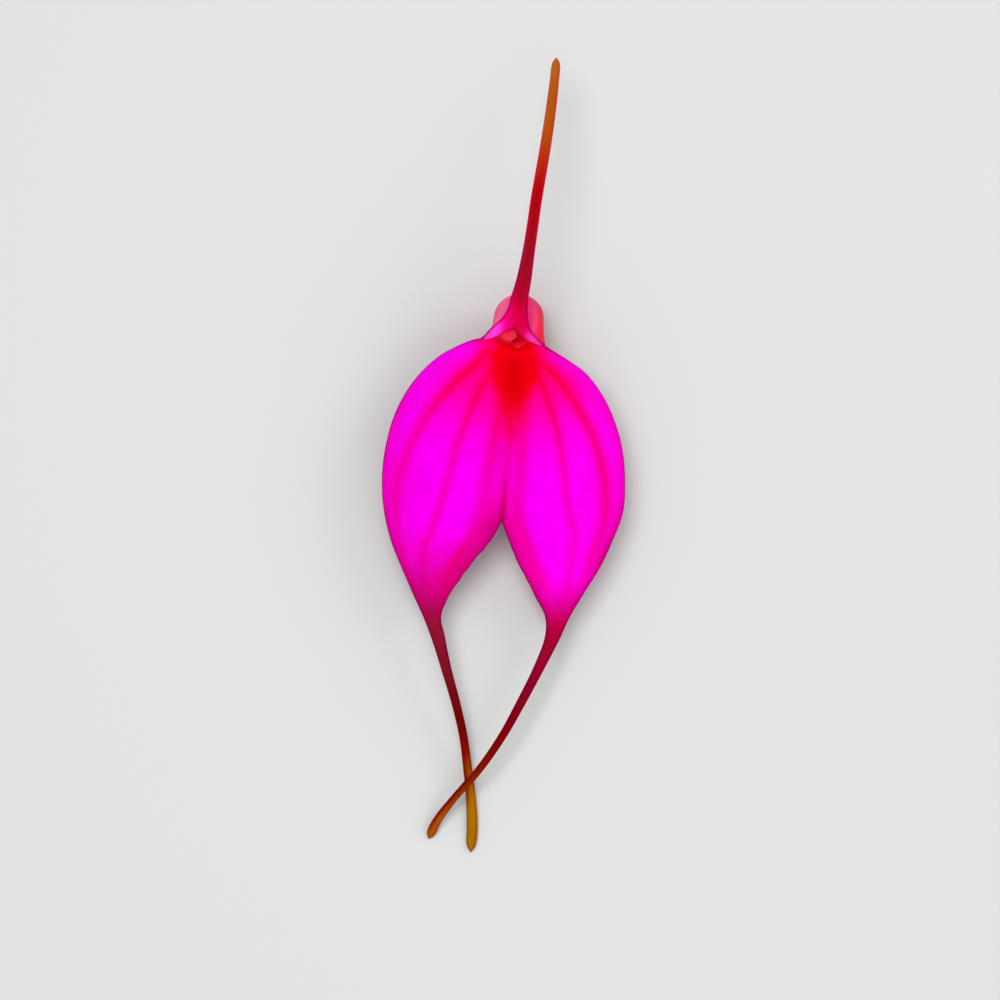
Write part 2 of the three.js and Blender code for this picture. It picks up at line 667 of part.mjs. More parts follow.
// The stem thins a little in the middle, and its whole underside is pressed flat on the surface.
const STEM_SIDES = 12
const STEM_DRIFT = [0.18, 0.33] // sideways for each millimetre down the stem, at its top and its foot
const STEM_WAIST = 0.08
const STEM_AXIS = 0.78 // height of its middle line, as a share of its radius
function peduncle() {
  const stops = [0, 0.25, 0.5, 0.75, 1].map((share) => {
    const down = share * STEM_LENGTH
    const x = OVARY_ROWS.at(-1)[1] + down * THREE.MathUtils.lerp(...STEM_DRIFT, share)
    const radius = STEM_RADIUS * (1 - STEM_WAIST * Math.sin(Math.PI * share))
    return [footX + x, stemTopY - down, STEM_AXIS * STEM_RADIUS, radius]
  })
  return part('peduncle', loft(stalk(stops, STEM_SIDES)), COLOURS.stem, 0.55)
}

// The bract wraps the foot of the pedicel from above, with its lower edges open and its tip free.
const BRACT_LENGTH = 7
const BRACT_START = -1.2 // of its foot, from the top of the stem
const BRACT_RADII = [STEM_RADIUS + JOINT_GAP + MARGIN_THICKNESS / 2, 1.65] // at its foot and its tip
const BRACT_WRAP = 100 // degrees to either side of its top
const BRACT_TIP = 0.35 // share of its length where it starts to narrow to the tip
const BRACT_STEPS = 6
const BRACT_COLUMNS = 8
function floralBract() {
  const skin = new Skin()
  let last = null
  for (let step = 0; step <= BRACT_STEPS; step += 1) {
    const along = step / BRACT_STEPS
    const radius = THREE.MathUtils.lerp(...BRACT_RADII, along)
    const open = BRACT_WRAP * (1 - Math.max(0, (along - BRACT_TIP) / (1 - BRACT_TIP)) ** 2)
    const row = []
    for (let column = 0; column <= BRACT_COLUMNS; column += 1) {
      const turn = THREE.MathUtils.degToRad(open * (2 * column / BRACT_COLUMNS - 1))
      row.push(skin.vertex(point(
        footX + OVARY_ROWS.at(-1)[1] + radius * Math.sin(turn),
        stemTopY + BRACT_START + along * BRACT_LENGTH,
        STEM_RADIUS + radius * Math.cos(turn),
      ), MARGIN_THICKNESS))
    }
    if (last) skin.stitch(row, last)
    last = row
  }
  return part('floral_bract', skin.solid(), COLOURS.bract, 0.7)
}

flower.add(sepals(), petal('petal_left', -1, PETAL_ROWS),
  petal('petal_right', 1, PETAL_ROWS.slice(0, RIGHT_PETAL_END)), lip(), column())
const stem = new THREE.Group()
stem.add(ovary(), floralBract(), peduncle())

const orchid = new THREE.Group()
orchid.add(flower, stem)
export default orchid
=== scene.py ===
"""The looks of a masdevallia flower, picked with a short stem and lying on its back.

Shapes are worked out in millimetres. The sepals, petals, lip and column are in the flower's own frame:
x to the right and y up its face, z out of its mouth, zero in the middle of the mouth. The ovary, bract
and stem are in the row's frame. Colours are written as sRGB, from 0 to 255.
"""
import math

import bpy
import numpy as np
from mathutils import Matrix, Vector, kdtree


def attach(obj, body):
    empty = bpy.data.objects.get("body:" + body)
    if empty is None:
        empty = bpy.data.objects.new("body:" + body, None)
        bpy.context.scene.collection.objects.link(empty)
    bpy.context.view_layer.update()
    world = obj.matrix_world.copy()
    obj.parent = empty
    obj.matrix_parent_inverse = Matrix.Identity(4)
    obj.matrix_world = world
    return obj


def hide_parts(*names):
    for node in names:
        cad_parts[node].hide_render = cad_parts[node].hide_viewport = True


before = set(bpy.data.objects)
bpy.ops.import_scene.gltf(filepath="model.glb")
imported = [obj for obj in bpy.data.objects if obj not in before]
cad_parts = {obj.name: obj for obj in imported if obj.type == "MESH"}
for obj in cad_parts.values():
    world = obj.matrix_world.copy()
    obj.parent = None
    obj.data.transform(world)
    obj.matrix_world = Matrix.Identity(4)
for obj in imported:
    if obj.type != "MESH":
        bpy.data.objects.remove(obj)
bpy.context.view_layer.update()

# ---------- Driving dimensions ----------
MM = 0.001
MOUTH_PLACE = (1.7, 16.0, 13.9)  # of the flower's frame in the row's frame
FACE_TILT = math.radians(8)
TO_ROW = Matrix.Translation(MOUTH_PLACE) @ Matrix.Rotation(FACE_TILT, 4, "X")

TUBE_THICKNESS = 0.45
BLADE_THICKNESS = 0.7
MARGIN_THICKNESS = 0.42
TAIL_THICKNESS = 1.15
TIP_THICKNESS = 0.3
TAIL_CROWN = 0.08
DORSAL_CROWN = 0.2
SIDE_THINNING = 0.2  # of a blade towards its margins
VEIN_DEPTH = 0.256
SEAM_DEPTH = 0.14
SEAM_FILL = 0.16  # rounds off the valley between the lateral sepals near the mouth
RUFFLE = {"left": 0.07, "right": 0.03}  # of the inner margins of the lateral sepals
RUFFLE_WAVES = ((0.6, 1.1, 0), (0.4, 1.7, 1))  # how large, how many to a rung, and where they start

STEM_RADIUS = 1.1
PEDICEL_RADIUS = 0.75
OVARY_RADIUS = 1.45

# ---------- The sepals' control points, as in the solids ----------
ARC = 0.5523  # handle length of a quarter circle as a cubic curve

# Rings of the tube: centre, half width, half depth, and the way from the centre to the roof.
TUBE_RINGS = [
    ((-0.95, -4.7, -11.85), 0, 0, (0, 0.05, -1)),
    ((-0.93, -4.1, -11.85), 1.9, 1.7, (0, 0.05, -1)),
    ((-0.6, -1.9, -11.75), 2.75, 2.0, (0, 0.1, -1)),
    ((-0.1, 0.7, -11.5), 3.25, 2.35, (0, 0.54, -0.84)),
    ((0.4, 2.85, -10.4), 3.5, 3.1, (0, 0.88, -0.48)),
    ((0.62, 3.4, -8.3), 3.55, 3.4, (0, 1, 0)),
    ((0.6, 2.15, -6.0), 3.55, 3.25, (0, 0.9, 0.43)),
    ((0.25, 0.75, -3.1), 3.9, 2.05, (0, 0.9, 0.43)),
]
MOUTH = len(TUBE_RINGS)

LEFT_CORNER = (-4.95, 0.05, -0.8)
RIGHT_CORNER = (4.35, -1.0, -0.8)
MOUTH_FLOOR = (-0.2, -2.7, -2.4)
MOUTH_ROOF = (0, 1.9, -1.5)
MOUTH_RUNGS = {
    "left": (LEFT_CORNER, (0.4, -1.3, -0.8), MOUTH_FLOOR, (-2.2, 0.1, 0.4)),
    "right": (MOUTH_FLOOR, (2.2, 0.1, 0.4), RIGHT_CORNER, (-0.1, -1.6, -0.7)),
    "dorsal_right": (RIGHT_CORNER, (-1.3, 0.35, -0.7), MOUTH_ROOF, (0.9, -1.7, 0)),
    "dorsal_left": (MOUTH_ROOF, (-1.3, -0.1, 0), LEFT_CORNER, (1.9, -0.1, -0.7)),
}

# Lateral sepals: outer margin, height of the crown near the outer and inner margin, lean of the crown.
LEFT_OUTER = [
    (-6.5, -0.25, -1.0, 0.3, -0.2, 0), (-8.7, -1.15, -1.6, 1.1, 0.4, 0),
    (-11.75, -2.9, -2.2, 2.0, 0.9, 0), (-15.35, -6.5, -2.8, 2.4, 1.1, 0),
    (-18.1, -11.3, -3.2, 2.4, 1.4, 0), (-19.6, -16.75, -3.3, 2.4, 1.8, 0),
    (-20.05, -21.3, -3.2, 2.3, 1.9, 0), (-19.75, -25.8, -3.0, 2.1, 2.0, 0),
    (-18.7, -30.3, -2.7, 1.8, 1.9, -0.05), (-17.0, -34.55, -2.4, 1.4, 1.6, -0.1),
    (-15.2, -38.6, -2.1, 0.8, 0.9, -0.06), (-13.7, -41.9, -1.9, 0.3, 0.3, 0),
]
RIGHT_OUTER = [
    (5.55, -1.75, -1.0, 0.3, -0.2, 0), (7.7, -3.1, -1.6, 1.1, 0.4, 0),
    (10.7, -5.3, -2.2, 2.0, 0.9, 0), (13.15, -8.5, -2.8, 2.4, 1.1, 0),
    (14.95, -12.2, -3.2, 2.4, 1.4, 0), (16.15, -16.45, -3.3, 2.4, 1.8, 0),
    (16.6, -21.3, -3.2, 2.3, 1.9, 0), (16.3, -26.1, -3.0, 2.1, 2.0, 0),
    (14.65, -30.6, -2.7, 1.8, 1.9, 0), (12.8, -34.5, -2.4, 1.4, 1.6, 0),
    (10.7, -37.85, -2.1, 0.8, 0.9, 0), (8.45, -41.5, -1.9, 0.3, 0.3, 0),
]
SEAM = [
    (-0.25, -4.1, -1.8), (-0.3, -6.0, -1.0), (-0.45, -9.3, -0.1), (-0.75, -13.8, 0.4),
    (-1.2, -19.0, 0.3), (-1.65, -24.3, -0.1), (-2.0, -27.6, -0.4),
]
LEFT_INNER = [
    (-3.75, -30.6, -1.2), (-5.85, -33.0, -1.8), (-7.7, -35.45, -2.0), (-9.95, -38.75, -1.9),
    (-11.15, -41.75, -1.8),
]
RIGHT_INNER = [
    (-0.75, -30.9, -1.2), (0.45, -33.8, -1.8), (1.8, -36.3, -2.0), (3.15, -39.05, -1.9),
    (4.5, -41.75, -1.8),
]
NOTCH = MOUTH + len(SEAM)
TAIL_START = MOUTH + len(LEFT_OUTER)

# Dorsal sepal: right margin, middle line, left margin.
DORSAL = [
    ((2.45, 1.2, -0.3), (0.15, 3.0, -0.4), (-3.55, 1.6, -0.2)),
    ((1.98, 2.75, 0), (0.4, 4.1, -0.05), (-2.05, 2.95, 0.1)),
    ((1.88, 4.2, 0.15), (0.6, 5.2, 0), (-1.15, 4.3, 0.15)),
    ((1.95, 5.8, 0.1), (0.8, 6.4, 0.05), (-0.6, 6.0, 0.1)),
    ((2.35, 8.5, 0.1), (1.3, 8.8, 0.1), (0.3, 8.8, 0.1)),
]
DORSAL_TAIL_START = MOUTH + len(DORSAL)

# Tails: x and y down the middle, height over the surface (dorsal: z), and half width.
LEFT_TAIL = [
    (-11.5, -45.1, 6.0, 0.95), (-10.25, -49.9, 5.5, 0.7), (-8.9, -54.75, 4.6, 0.61),
    (-7.8, -59.65, 3.3, 0.59), (-7.15, -64.5, 2.0, 0.64), (-6.6, -69.7, 1.0, 0.73),
    (-6.45, -73.6, 0.6, 0.8), (-6.6, -76.4, 0.35, 0.64), (-6.65, -77.4, 0.25, 0),
]
RIGHT_TAIL = [
    (5.55, -45.1, 6.2, 1.05), (3.4, -49.9, 6.1, 0.72), (0.9, -54.7, 6.0, 0.63),
    (-1.8, -59.55, 5.5, 0.56), (-5.15, -64.45, 4.6, 0.53), (-9.2, -69.2, 2.9, 0.53),
    (-11.6, -72.4, 1.5, 0.62), (-12.7, -74.6, 0.5, 0.6), (-13.05, -75.4, 0.25, 0),
]
DORSAL_TAIL = [
    (2.0, 12.6, 0.1, 0.82), (2.55, 16.2, 0.1, 0.77), (3.25, 21.05, -0.5, 0.77),
    (4.1, 25.95, -1.7, 0.78), (5.1, 32.2, -4.3, 0.76), (5.95, 38.8, -7.7, 0.68),
    (6.3, 42.3, -9.7, 0.52), (6.38, 43.2, -10.2, 0),
]

# The veins of a lateral sepal at a rung: where its outer, middle and inner vein run, from the outer
# margin to the seam, and how strong each is.
LEFT_VEINS = [
    (MOUTH + 1, 0.46, 0.70, 0.93, 0.6, 0.6, 0.2), (MOUTH + 3, 0.37, 0.62, 0.90, 0.85, 0.8, 0.3),
    (MOUTH + 5, 0.235, 0.565, 0.84, 0.5, 0.42, 0.33), (MOUTH + 7, 0.13, 0.50, 0.81, 0.36, 0.34, 0.28),
    (MOUTH + 10, 0.13, 0.41, 0.81, 0.3, 0.4, 0.25), (TAIL_START, 0.28, 0.45, 0.75, 0, 0.1, 0),
]
RIGHT_VEINS = [
    (MOUTH + 1, 0.46, 0.60, 0.93, 0.6, 0.7, 0.2), (MOUTH + 3, 0.355, 0.575, 0.89, 0.9, 0.95, 0.2),
    (MOUTH + 5, 0.235, 0.515, 0.85, 0.7, 0.5, 0.2), (MOUTH + 7, 0.17, 0.48, 0.85, 0.6, 0.33, 0.16),
    (MOUTH + 9, 0.18, 0.43, 0.855, 0.42, 0.26, 0.12), (TAIL_START, 0.2, 0.42, 0.80, 0, 0.15, 0),
]
VEIN_WIDTHS = (0.95, 0.78, 1.0)


# ---------- Curves ----------
def smooth(value, low, high):
    """0 below low, 1 above high, and a smooth step in between."""
    share = np.clip((np.asarray(value, float) - low) / (high - low), 0, 1)
    return share * share * (3 - 2 * share)


def from_to(at, rise, fall):
    """1 between two ranges: it rises over the first and falls over the second."""
    return smooth(at, *rise) * (1 - smooth(at, *fall))


def bell(distance, width):
    return np.exp(-((np.asarray(distance, float) / width) ** 2))


def curve(spots, at):
    """Points of the centripetal Catmull-Rom curve through spots, at places counted in spots."""
    spots = np.asarray(spots, float)
    at = np.asarray(at, float)
    index = np.clip(np.floor(at).astype(int), 0, len(spots) - 2)
    share = (at - index)[:, None]
    ends = 2 * spots[0] - spots[1], 2 * spots[-1] - spots[-2]
    padded = np.vstack([ends[0], spots, ends[1]])
    a, b, c, d = (padded[index + k] for k in range(4))
    before, here, after = (
        np.maximum(np.sum((q - p) ** 2, axis=1, keepdims=True) ** 0.25, 1e-6)
        for p, q in ((a, b), (b, c), (c, d)))
    start = ((b - a) / before - (c - a) / (before + here) + (c - b) / here) * here
    end = ((c - b) / here - (d - b) / (here + after) + (d - c) / after) * here
    return (b + start * share + (3 * (c - b) - 2 * start - end) * share ** 2
            + (2 * (b - c) + start + end) * share ** 3)


def line_through(spots, at, corner=0):
    """The same curve, with a corner at one of the spots if one is given."""
    if not corner:
        return curve(spots, at)
    near = at <= corner
    line = np.empty((len(at), 3))
    line[near] = curve(spots[:corner + 1], at[near])
    line[~near] = curve(spots[corner:], at[~near] - corner)
    return line


def across(controls, t):
    """Points of cubic curves, given by four control points each, at the places t."""
    u = 1 - t
    weights = np.stack([u ** 3, 3 * u * u * t, 3 * u * t * t, t ** 3])
    return np.einsum("kc,krx->rcx", weights, controls)


def row_lengths(points):
    """How long each row of a grid is."""
    return np.linalg.norm(np.diff(points, axis=1), axis=2).sum(axis=1, keepdims=True)


# ---------- Thin sheets ----------
RIM_STEPS = 4  # round a free edge
MOST_INSET = 0.45  # of a free edge, as a share of the shortest side of a face there


class Sheet:
    """Grids of points, joined where they meet and thickened into one closed body.

    A face's front looks at the viewer of the flower or into the tube.
    """

    def __init__(self):
        self.grids = []
        self.values = {}
        self.quads = []
        self.size = 0

    def grid(self, points, **values):
        """Adds a grid, with values for each point, each row or the whole grid."""
        rows, columns = points.shape[:2]
        index = self.size + np.arange(rows * columns).reshape(rows, columns)
        self.size += rows * columns
        self.grids.append(points.reshape(-1, 3))
        for name, value in values.items():
            value = np.broadcast_to(value, (rows, columns) + np.shape(value)[2:])
            self.values.setdefault(name, []).append(value.reshape(rows * columns, -1))
        corners = index[:-1, :-1], index[1:, :-1], index[1:, 1:], index[:-1, 1:]
        self.quads.append(np.stack(corners, axis=-1).reshape(-1, 4))

    def weld(self):
        points = np.concatenate(self.grids)
        _, first, where = np.unique(
            np.round(points, 4) + 0.0, axis=0, return_index=True, return_inverse=True)
        values = {name: np.concatenate(parts)[first] for name, parts in self.values.items()}
        return points[first], values, where.reshape(-1)[np.concatenate(self.quads)]

    def solid(self, name, margin, place=TO_ROW):
        """The closed body as a Blender object: a front, a round free edge and a back."""
        points, values, quads = self.weld()
        count = len(points)
        normals = np.zeros((count, 3))
        for triangle in (quads[:, [0, 1, 2]], quads[:, [0, 2, 3]]):
            p, q, r = (points[triangle[:, k]] for k in range(3))
            face = np.cross(q - p, r - p)
            for k in range(3):
                np.add.at(normals, triangle[:, k], face)
        normals /= np.maximum(np.linalg.norm(normals, axis=1, keepdims=True), 1e-12)

        edges = np.concatenate([quads[:, [k, (k + 1) % 4]] for k in range(4)])
        edges = edges[edges[:, 0] != edges[:, 1]]
        codes = edges[:, 0] * count + edges[:, 1]
        free = edges[~np.isin(edges[:, 1] * count + edges[:, 0], codes)]
        lengths = np.linalg.norm(points[edges[:, 1]] - points[edges[:, 0]], axis=1)
        shortest = np.full(count, np.inf)
        for k in range(2):
            np.minimum.at(shortest, edges[:, k], lengths)

        outward = np.zeros((count, 3))
        along = points[free[:, 1]] - points[free[:, 0]]
        for k in range(2):
            np.add.at(outward, free[:, k], np.cross(along, normals[free[:, k]]))
        rim = np.unique(free)
        outward[rim] /= np.linalg.norm(outward[rim], axis=1, keepdims=True)
        half = values["thickness"][:, 0] / 2
        half[rim] = np.minimum(half[rim], margin / 2)
        inset = np.zeros(count)
        inset[rim] = np.minimum(half[rim], MOST_INSET * shortest[rim])
        base = points - outward * inset[:, None]

        rings, corners, sources, sides, total = [], [], [], [], 0
        for step in range(RIM_STEPS + 1):
            turn = math.pi * (0.5 - step / RIM_STEPS)
            who = rim if 0 < step < RIM_STEPS else np.arange(count)
            ring = np.zeros(count, int)
            ring[who] = total + np.arange(len(who))
            total += len(who)
            rings.append(ring)
            reach = outward[who] * (inset[who] * math.cos(turn))[:, None]
            rise = normals[who] * (half[who] * math.sin(turn))[:, None]
            corners.append(base[who] + reach + rise)
            sources.append(who)
            sides.append(np.full(len(who), math.sin(turn)))

        faces = [tuple(dict.fromkeys(quad)) for quad in quads.tolist()]
        faces = [face for face in faces if len(face) > 2]
        back = rings[-1]
        faces += [tuple(back[list(reversed(face))].tolist()) for face in faces]
        for upper, lower in zip(rings[:-1], rings[1:]):
            faces += np.stack([upper[free[:, 1]], upper[free[:, 0]],
                               lower[free[:, 0]], lower[free[:, 1]]], axis=-1).tolist()
        sources = np.concatenate(sources)
        sides = np.concatenate(sides)
        share = ((sides + 1) / 2)[:, None]
        tint = values["front"][sources] * share + values["back"][sources] * (1 - share)
        plain = values.get("plain", np.zeros((count, 1)))[:, 0]
        # Painted light: how strongly the front gives off light, handed on to the material.
        glow = values.get("glow", np.zeros((count, 1)))[sources, 0] * (sides > 0)
        attributes = {"rim": (edge_distance(points, rim) + plain)[sources], "side": sides, "glow": glow}
        return body(name, np.concatenate(corners), faces, tint, attributes, place)


def edge_distance(points, rim):
    """How far each point is from the free edge."""
    tree = kdtree.KDTree(max(len(rim), 1))
    for place, index in enumerate(rim):
        tree.insert(points[index], place)
    tree.balance()
    return np.array([tree.find(spot)[2] for spot in points])


def linked(name, data):
    item = bpy.data.objects.new(name, data)
    bpy.context.scene.collection.objects.link(item)
    return item


def body(name, corners, faces, tint, attributes=None, place=Matrix.Identity(4)):
    """A smooth mesh in the row's frame, in metres, with its colour in the attribute tint."""
    turn = np.array(place.to_3x3())
    corners = corners @ turn.T + np.array(place.translation)
    corners[:, 2] = np.maximum(corners[:, 2], 0)
    mesh = bpy.data.meshes.new(name)
    mesh.from_pydata((corners * MM).tolist(), [], faces)
    mesh.validate()
    colour = mesh.color_attributes.new("tint", "FLOAT_COLOR", "POINT")
    rgba = np.ones((len(corners), 4))
    rgba[:, :3] = linear(tint)
    colour.data.foreach_set("color", rgba.ravel())
    for key, value in (attributes or {}).items():
        layer = mesh.attributes.new(key, "FLOAT", "POINT")
        layer.data.foreach_set("value", np.asarray(value, float))
    mesh.shade_smooth()
    return linked(name, mesh)


# ---------- Colours ----------
def linear(colour):
    share = np.clip(np.asarray(colour, float) / 255, 0, 1)
    return np.where(share <= 0.04045, share / 12.92, ((share + 0.055) / 1.055) ** 2.4)


def mix(base, colour, amount):
    base = np.asarray(base, float)
    return base + (np.asarray(colour, float) - base) * np.asarray(amount)[..., None]


def between(value, table):
    """A value read off a table of (place, value)."""
    return np.interp(value, [row[0] for row in table], [row[1] for row in table])


def stops(at, table):
    """Colours between the stops (place, colour) of a table."""
    return np.stack([between(at, [(place, colour[k]) for place, colour in table]) for k in range(3)], axis=-1)


def shifted(start, table):
    """A table of (place, value) with its places counted from start."""
    return [(start + place, value) for place, value in table]


MAGENTA = (255, 0, 235)
# Painted shade of the lateral sepals' margins, where the blades turn back from the light.
MAGENTA_EDGE_SHADE = (250, 0, 184)
LOBE_EDGE_SHADE = (176, 0, 104)
BLUSH = (255, 0, 108)
VEIN = (243, 0, 90)
THROAT_VEIN = (242, 0, 62)
RED = (239, 0, 17)
DEEP_RED = (213, 0, 4)
SEAM_CREASE_SHADE = (146, 0, 70)
# Painted highlights on the dorsal sepal's base: on its left wing and on its right foot.
WING_HIGHLIGHT = (255, 62, 208)
FOOT_HIGHLIGHT = (255, 54, 190)
# Painted light and shade of the dorsal sepal: its lighter, pinker left side and its darker right side.
DORSAL_LIT_PINK = (255, 4, 170)
DORSAL_PAINTED_SHADE = (178, 4, 92)
ROOF_PINK = (255, 62, 150)
CORAL = (255, 84, 128)
CORAL_LIGHT = (255, 104, 146)
CORAL_RED = (255, 46, 108)
CORAL_EDGE_SHADE = (192, 34, 44)
BACK_MAGENTA = (222, 24, 178)
BACK_VEIN = (186, 4, 96)
FOOT = (196, 92, 84)
FACE_SHADE = 0.905  # of the colours of the sepals in front of the mouth
TAIL_RED = (92, 2, 3)
TAIL_OCHRE = (138, 98, 5)

# Down the sepals, from rung to rung.
LEFT_TAIL_COLOURS = shifted(TAIL_START, [
    (-4.3, (252, 0, 228)), (-3.1, (232, 1, 198)), (-2.5, (222, 2, 184)), (-2, (208, 3, 170)),
    (-1, (172, 4, 114)), (0, (141, 13, 56)), (1, (120, 20, 40)), (2.3, (102, 14, 25)), (3.5, (84, 5, 3)),
    (4.5, (114, 8, 2)), (5.1, (138, 76, 5)), (5.6, (158, 108, 4)), (9, (154, 110, 4)),
])
RIGHT_TAIL_COLOURS = shifted(TAIL_START, [
    (-2.2, (255, 0, 238)), (-1.2, (228, 0, 200)), (-0.5, (204, 1, 150)), (0, (184, 2, 106)),
    (0.6, (160, 2, 58)), (1.3, (139, 6, 40)), (2.5, (120, 4, 34)), (3.5, (108, 3, 18)), (4.3, (102, 4, 8)),
    (5, (104, 18, 5)), (6, (114, 40, 3)), (7, (138, 84, 6)), (9, (156, 92, 8)),
])
DORSAL_COLOURS = shifted(MOUTH, [
    (0, (222, 0, 78)), (1, (208, 0, 72)), (2, (188, 1, 55)), (3.5, (158, 4, 34)),
]) + shifted(DORSAL_TAIL_START, [
    (0, (144, 10, 28)), (1, (128, 17, 26)), (2.3, (146, 8, 12)), (3.2, (150, 4, 2)), (3.9, (154, 33, 2)),
    (4.8, (147, 84, 4)), (8, (130, 112, 14)),
])
# Inside the tube: red-pink near the mouth, paler pink deeper in. This is partly its own colour and partly
# painted light that lifts the shade in the tube.
TUBE_INSIDE = [
    (0, (226, 110, 110)), (MOUTH - 3, (255, 90, 110)), (MOUTH - 1, (255, 50, 96)), (MOUTH, (255, 16, 66)),
]

# The redder side of a tail, and the rungs between which it differs from the other side.
LEFT_TAIL_SHADE = ("outer", TAIL_START + 4, TAIL_START + 6.5)
RIGHT_TAIL_SHADE = ("inner", TAIL_START + 4.6, TAIL_START + 8.4)

# How strong the painted shade along the outer margin of a lobe is, and how strong and how wide the painted
# shade along its inner margin.
LEFT_MARGINS = (0.85, (0.75, 2.7))
RIGHT_MARGINS = (0.95, (0.6, 1.0))

# Down the face, by the depth below the middle of the mouth: the middle of the red throat, its half
# width, how soft its sides are and how red it still is.
THROAT_MIDDLE = [(0, -0.1), (6, 0), (9, -0.15), (11, -0.45), (14, -0.55)]
THROAT_WIDTH = [(-1, 2.3), (1.2, 2.8), (2.4, 3.4), (6, 3.45), (8, 2.7), (9.3, 1.95), (11, 1.45), (14, 0.8)]
THROAT_SOFTNESS = [(0, 0.35), (2.4, 0.25), (6, 0.25), (8, 0.5), (10, 0.8), (12, 0.95)]
THROAT_FADE = [(0, 1), (7, 1), (8.5, 0.87), (9.5, 0.72), (11, 0.52), (13, 0.3), (15.5, 0.14), (18, 0)]
STREAK_MIDDLE = [(8, -0.2), (11, -0.7), (20, -1.2)]

# The blush round the throat, by the distance from the mouth and by the angle off the way down.
BLUSH_REACH = [(0, 1), (5, 1), (8, 0.78), (11, 0.6), (14, 0.3), (16, 0.17), (19, 0.07), (22, 0)]
BLUSH_ASIDE = [(50, 1), (62, 0.45), (75, 0.2)]

# Beside the seam, by the depth: a wide rosy band, a rosy line and a line of painted shade in the crease
# towards the notch.
SEAM_BAND = [
    (7, 0), (9.5, 0.62), (12, 0.6), (15.3, 0.33), (20, 0.24), (24, 0.36), (28, 0.5), (36, 0.42),
]
SEAM_ROSE = [(16, 0), (19, 0.25), (24, 0.45), (28, 0.5)]
SEAM_CREASE_DEPTHS = [(19, 0), (24, 0.34), (27.5, 0.95)]


def tube_outside(x, at):
    """Coral pink, redder and darker to the right, partly its own colour and partly painted shade on the side
    away from the light, with lighter and redder stripes round it and duller at the foot.
    """
    # Redder and darker to the right: partly the tube's own colour, partly painted shade.
    base = mix(CORAL, CORAL_RED, smooth(x, 0.2, 2.2))
    wave = np.cos(np.linspace(0, 1, x.shape[1]) * 4 * np.pi)
    base = mix(base, CORAL_LIGHT, 0.45 * np.maximum(wave, 0) ** 2)
    base = mix(base, CORAL_RED, 0.3 * np.maximum(-wave, 0) ** 2)
    # Painted shade at the right edge, where the tube turns away from the light.
    base = mix(base, CORAL_EDGE_SHADE, 0.85 * smooth(x, 2.6, 3.9))
    return mix(base, FOOT, 0.75 * (1 - smooth(at, 0.6, 3.4)))


def throat_fields(x, y):
    """How red the throat is at a place of the face, how dark its middle, and how far its blush reaches."""
    depth = -y
    off = np.abs(x - between(depth, THROAT_MIDDLE))
    soft = between(depth, THROAT_SOFTNESS)
    aside = off / between(depth, THROAT_WIDTH)
    red = (1 - smooth(aside, 1 - soft, 1 + soft)) * between(depth, THROAT_FADE)
    streak = 0.35 * bell(x - between(depth, STREAK_MIDDLE), 0.4)
    red = np.maximum(red, 0) + streak * smooth(depth, 8, 10.5) * (1 - smooth(depth, 13, 18)) * (1 - red)
    deep = bell(off, 1.7) * bell(depth - 6.4, 3.6)

    reach = np.hypot(x, y)
    ray = np.degrees(np.arctan2(np.abs(x), np.maximum(depth, 0.01)))
    weaker = (1 - between(ray, BLUSH_ASIDE)) * smooth(reach, 4.0, 7.6)
    return red, deep, between(reach, BLUSH_REACH) * (1 - weaker)


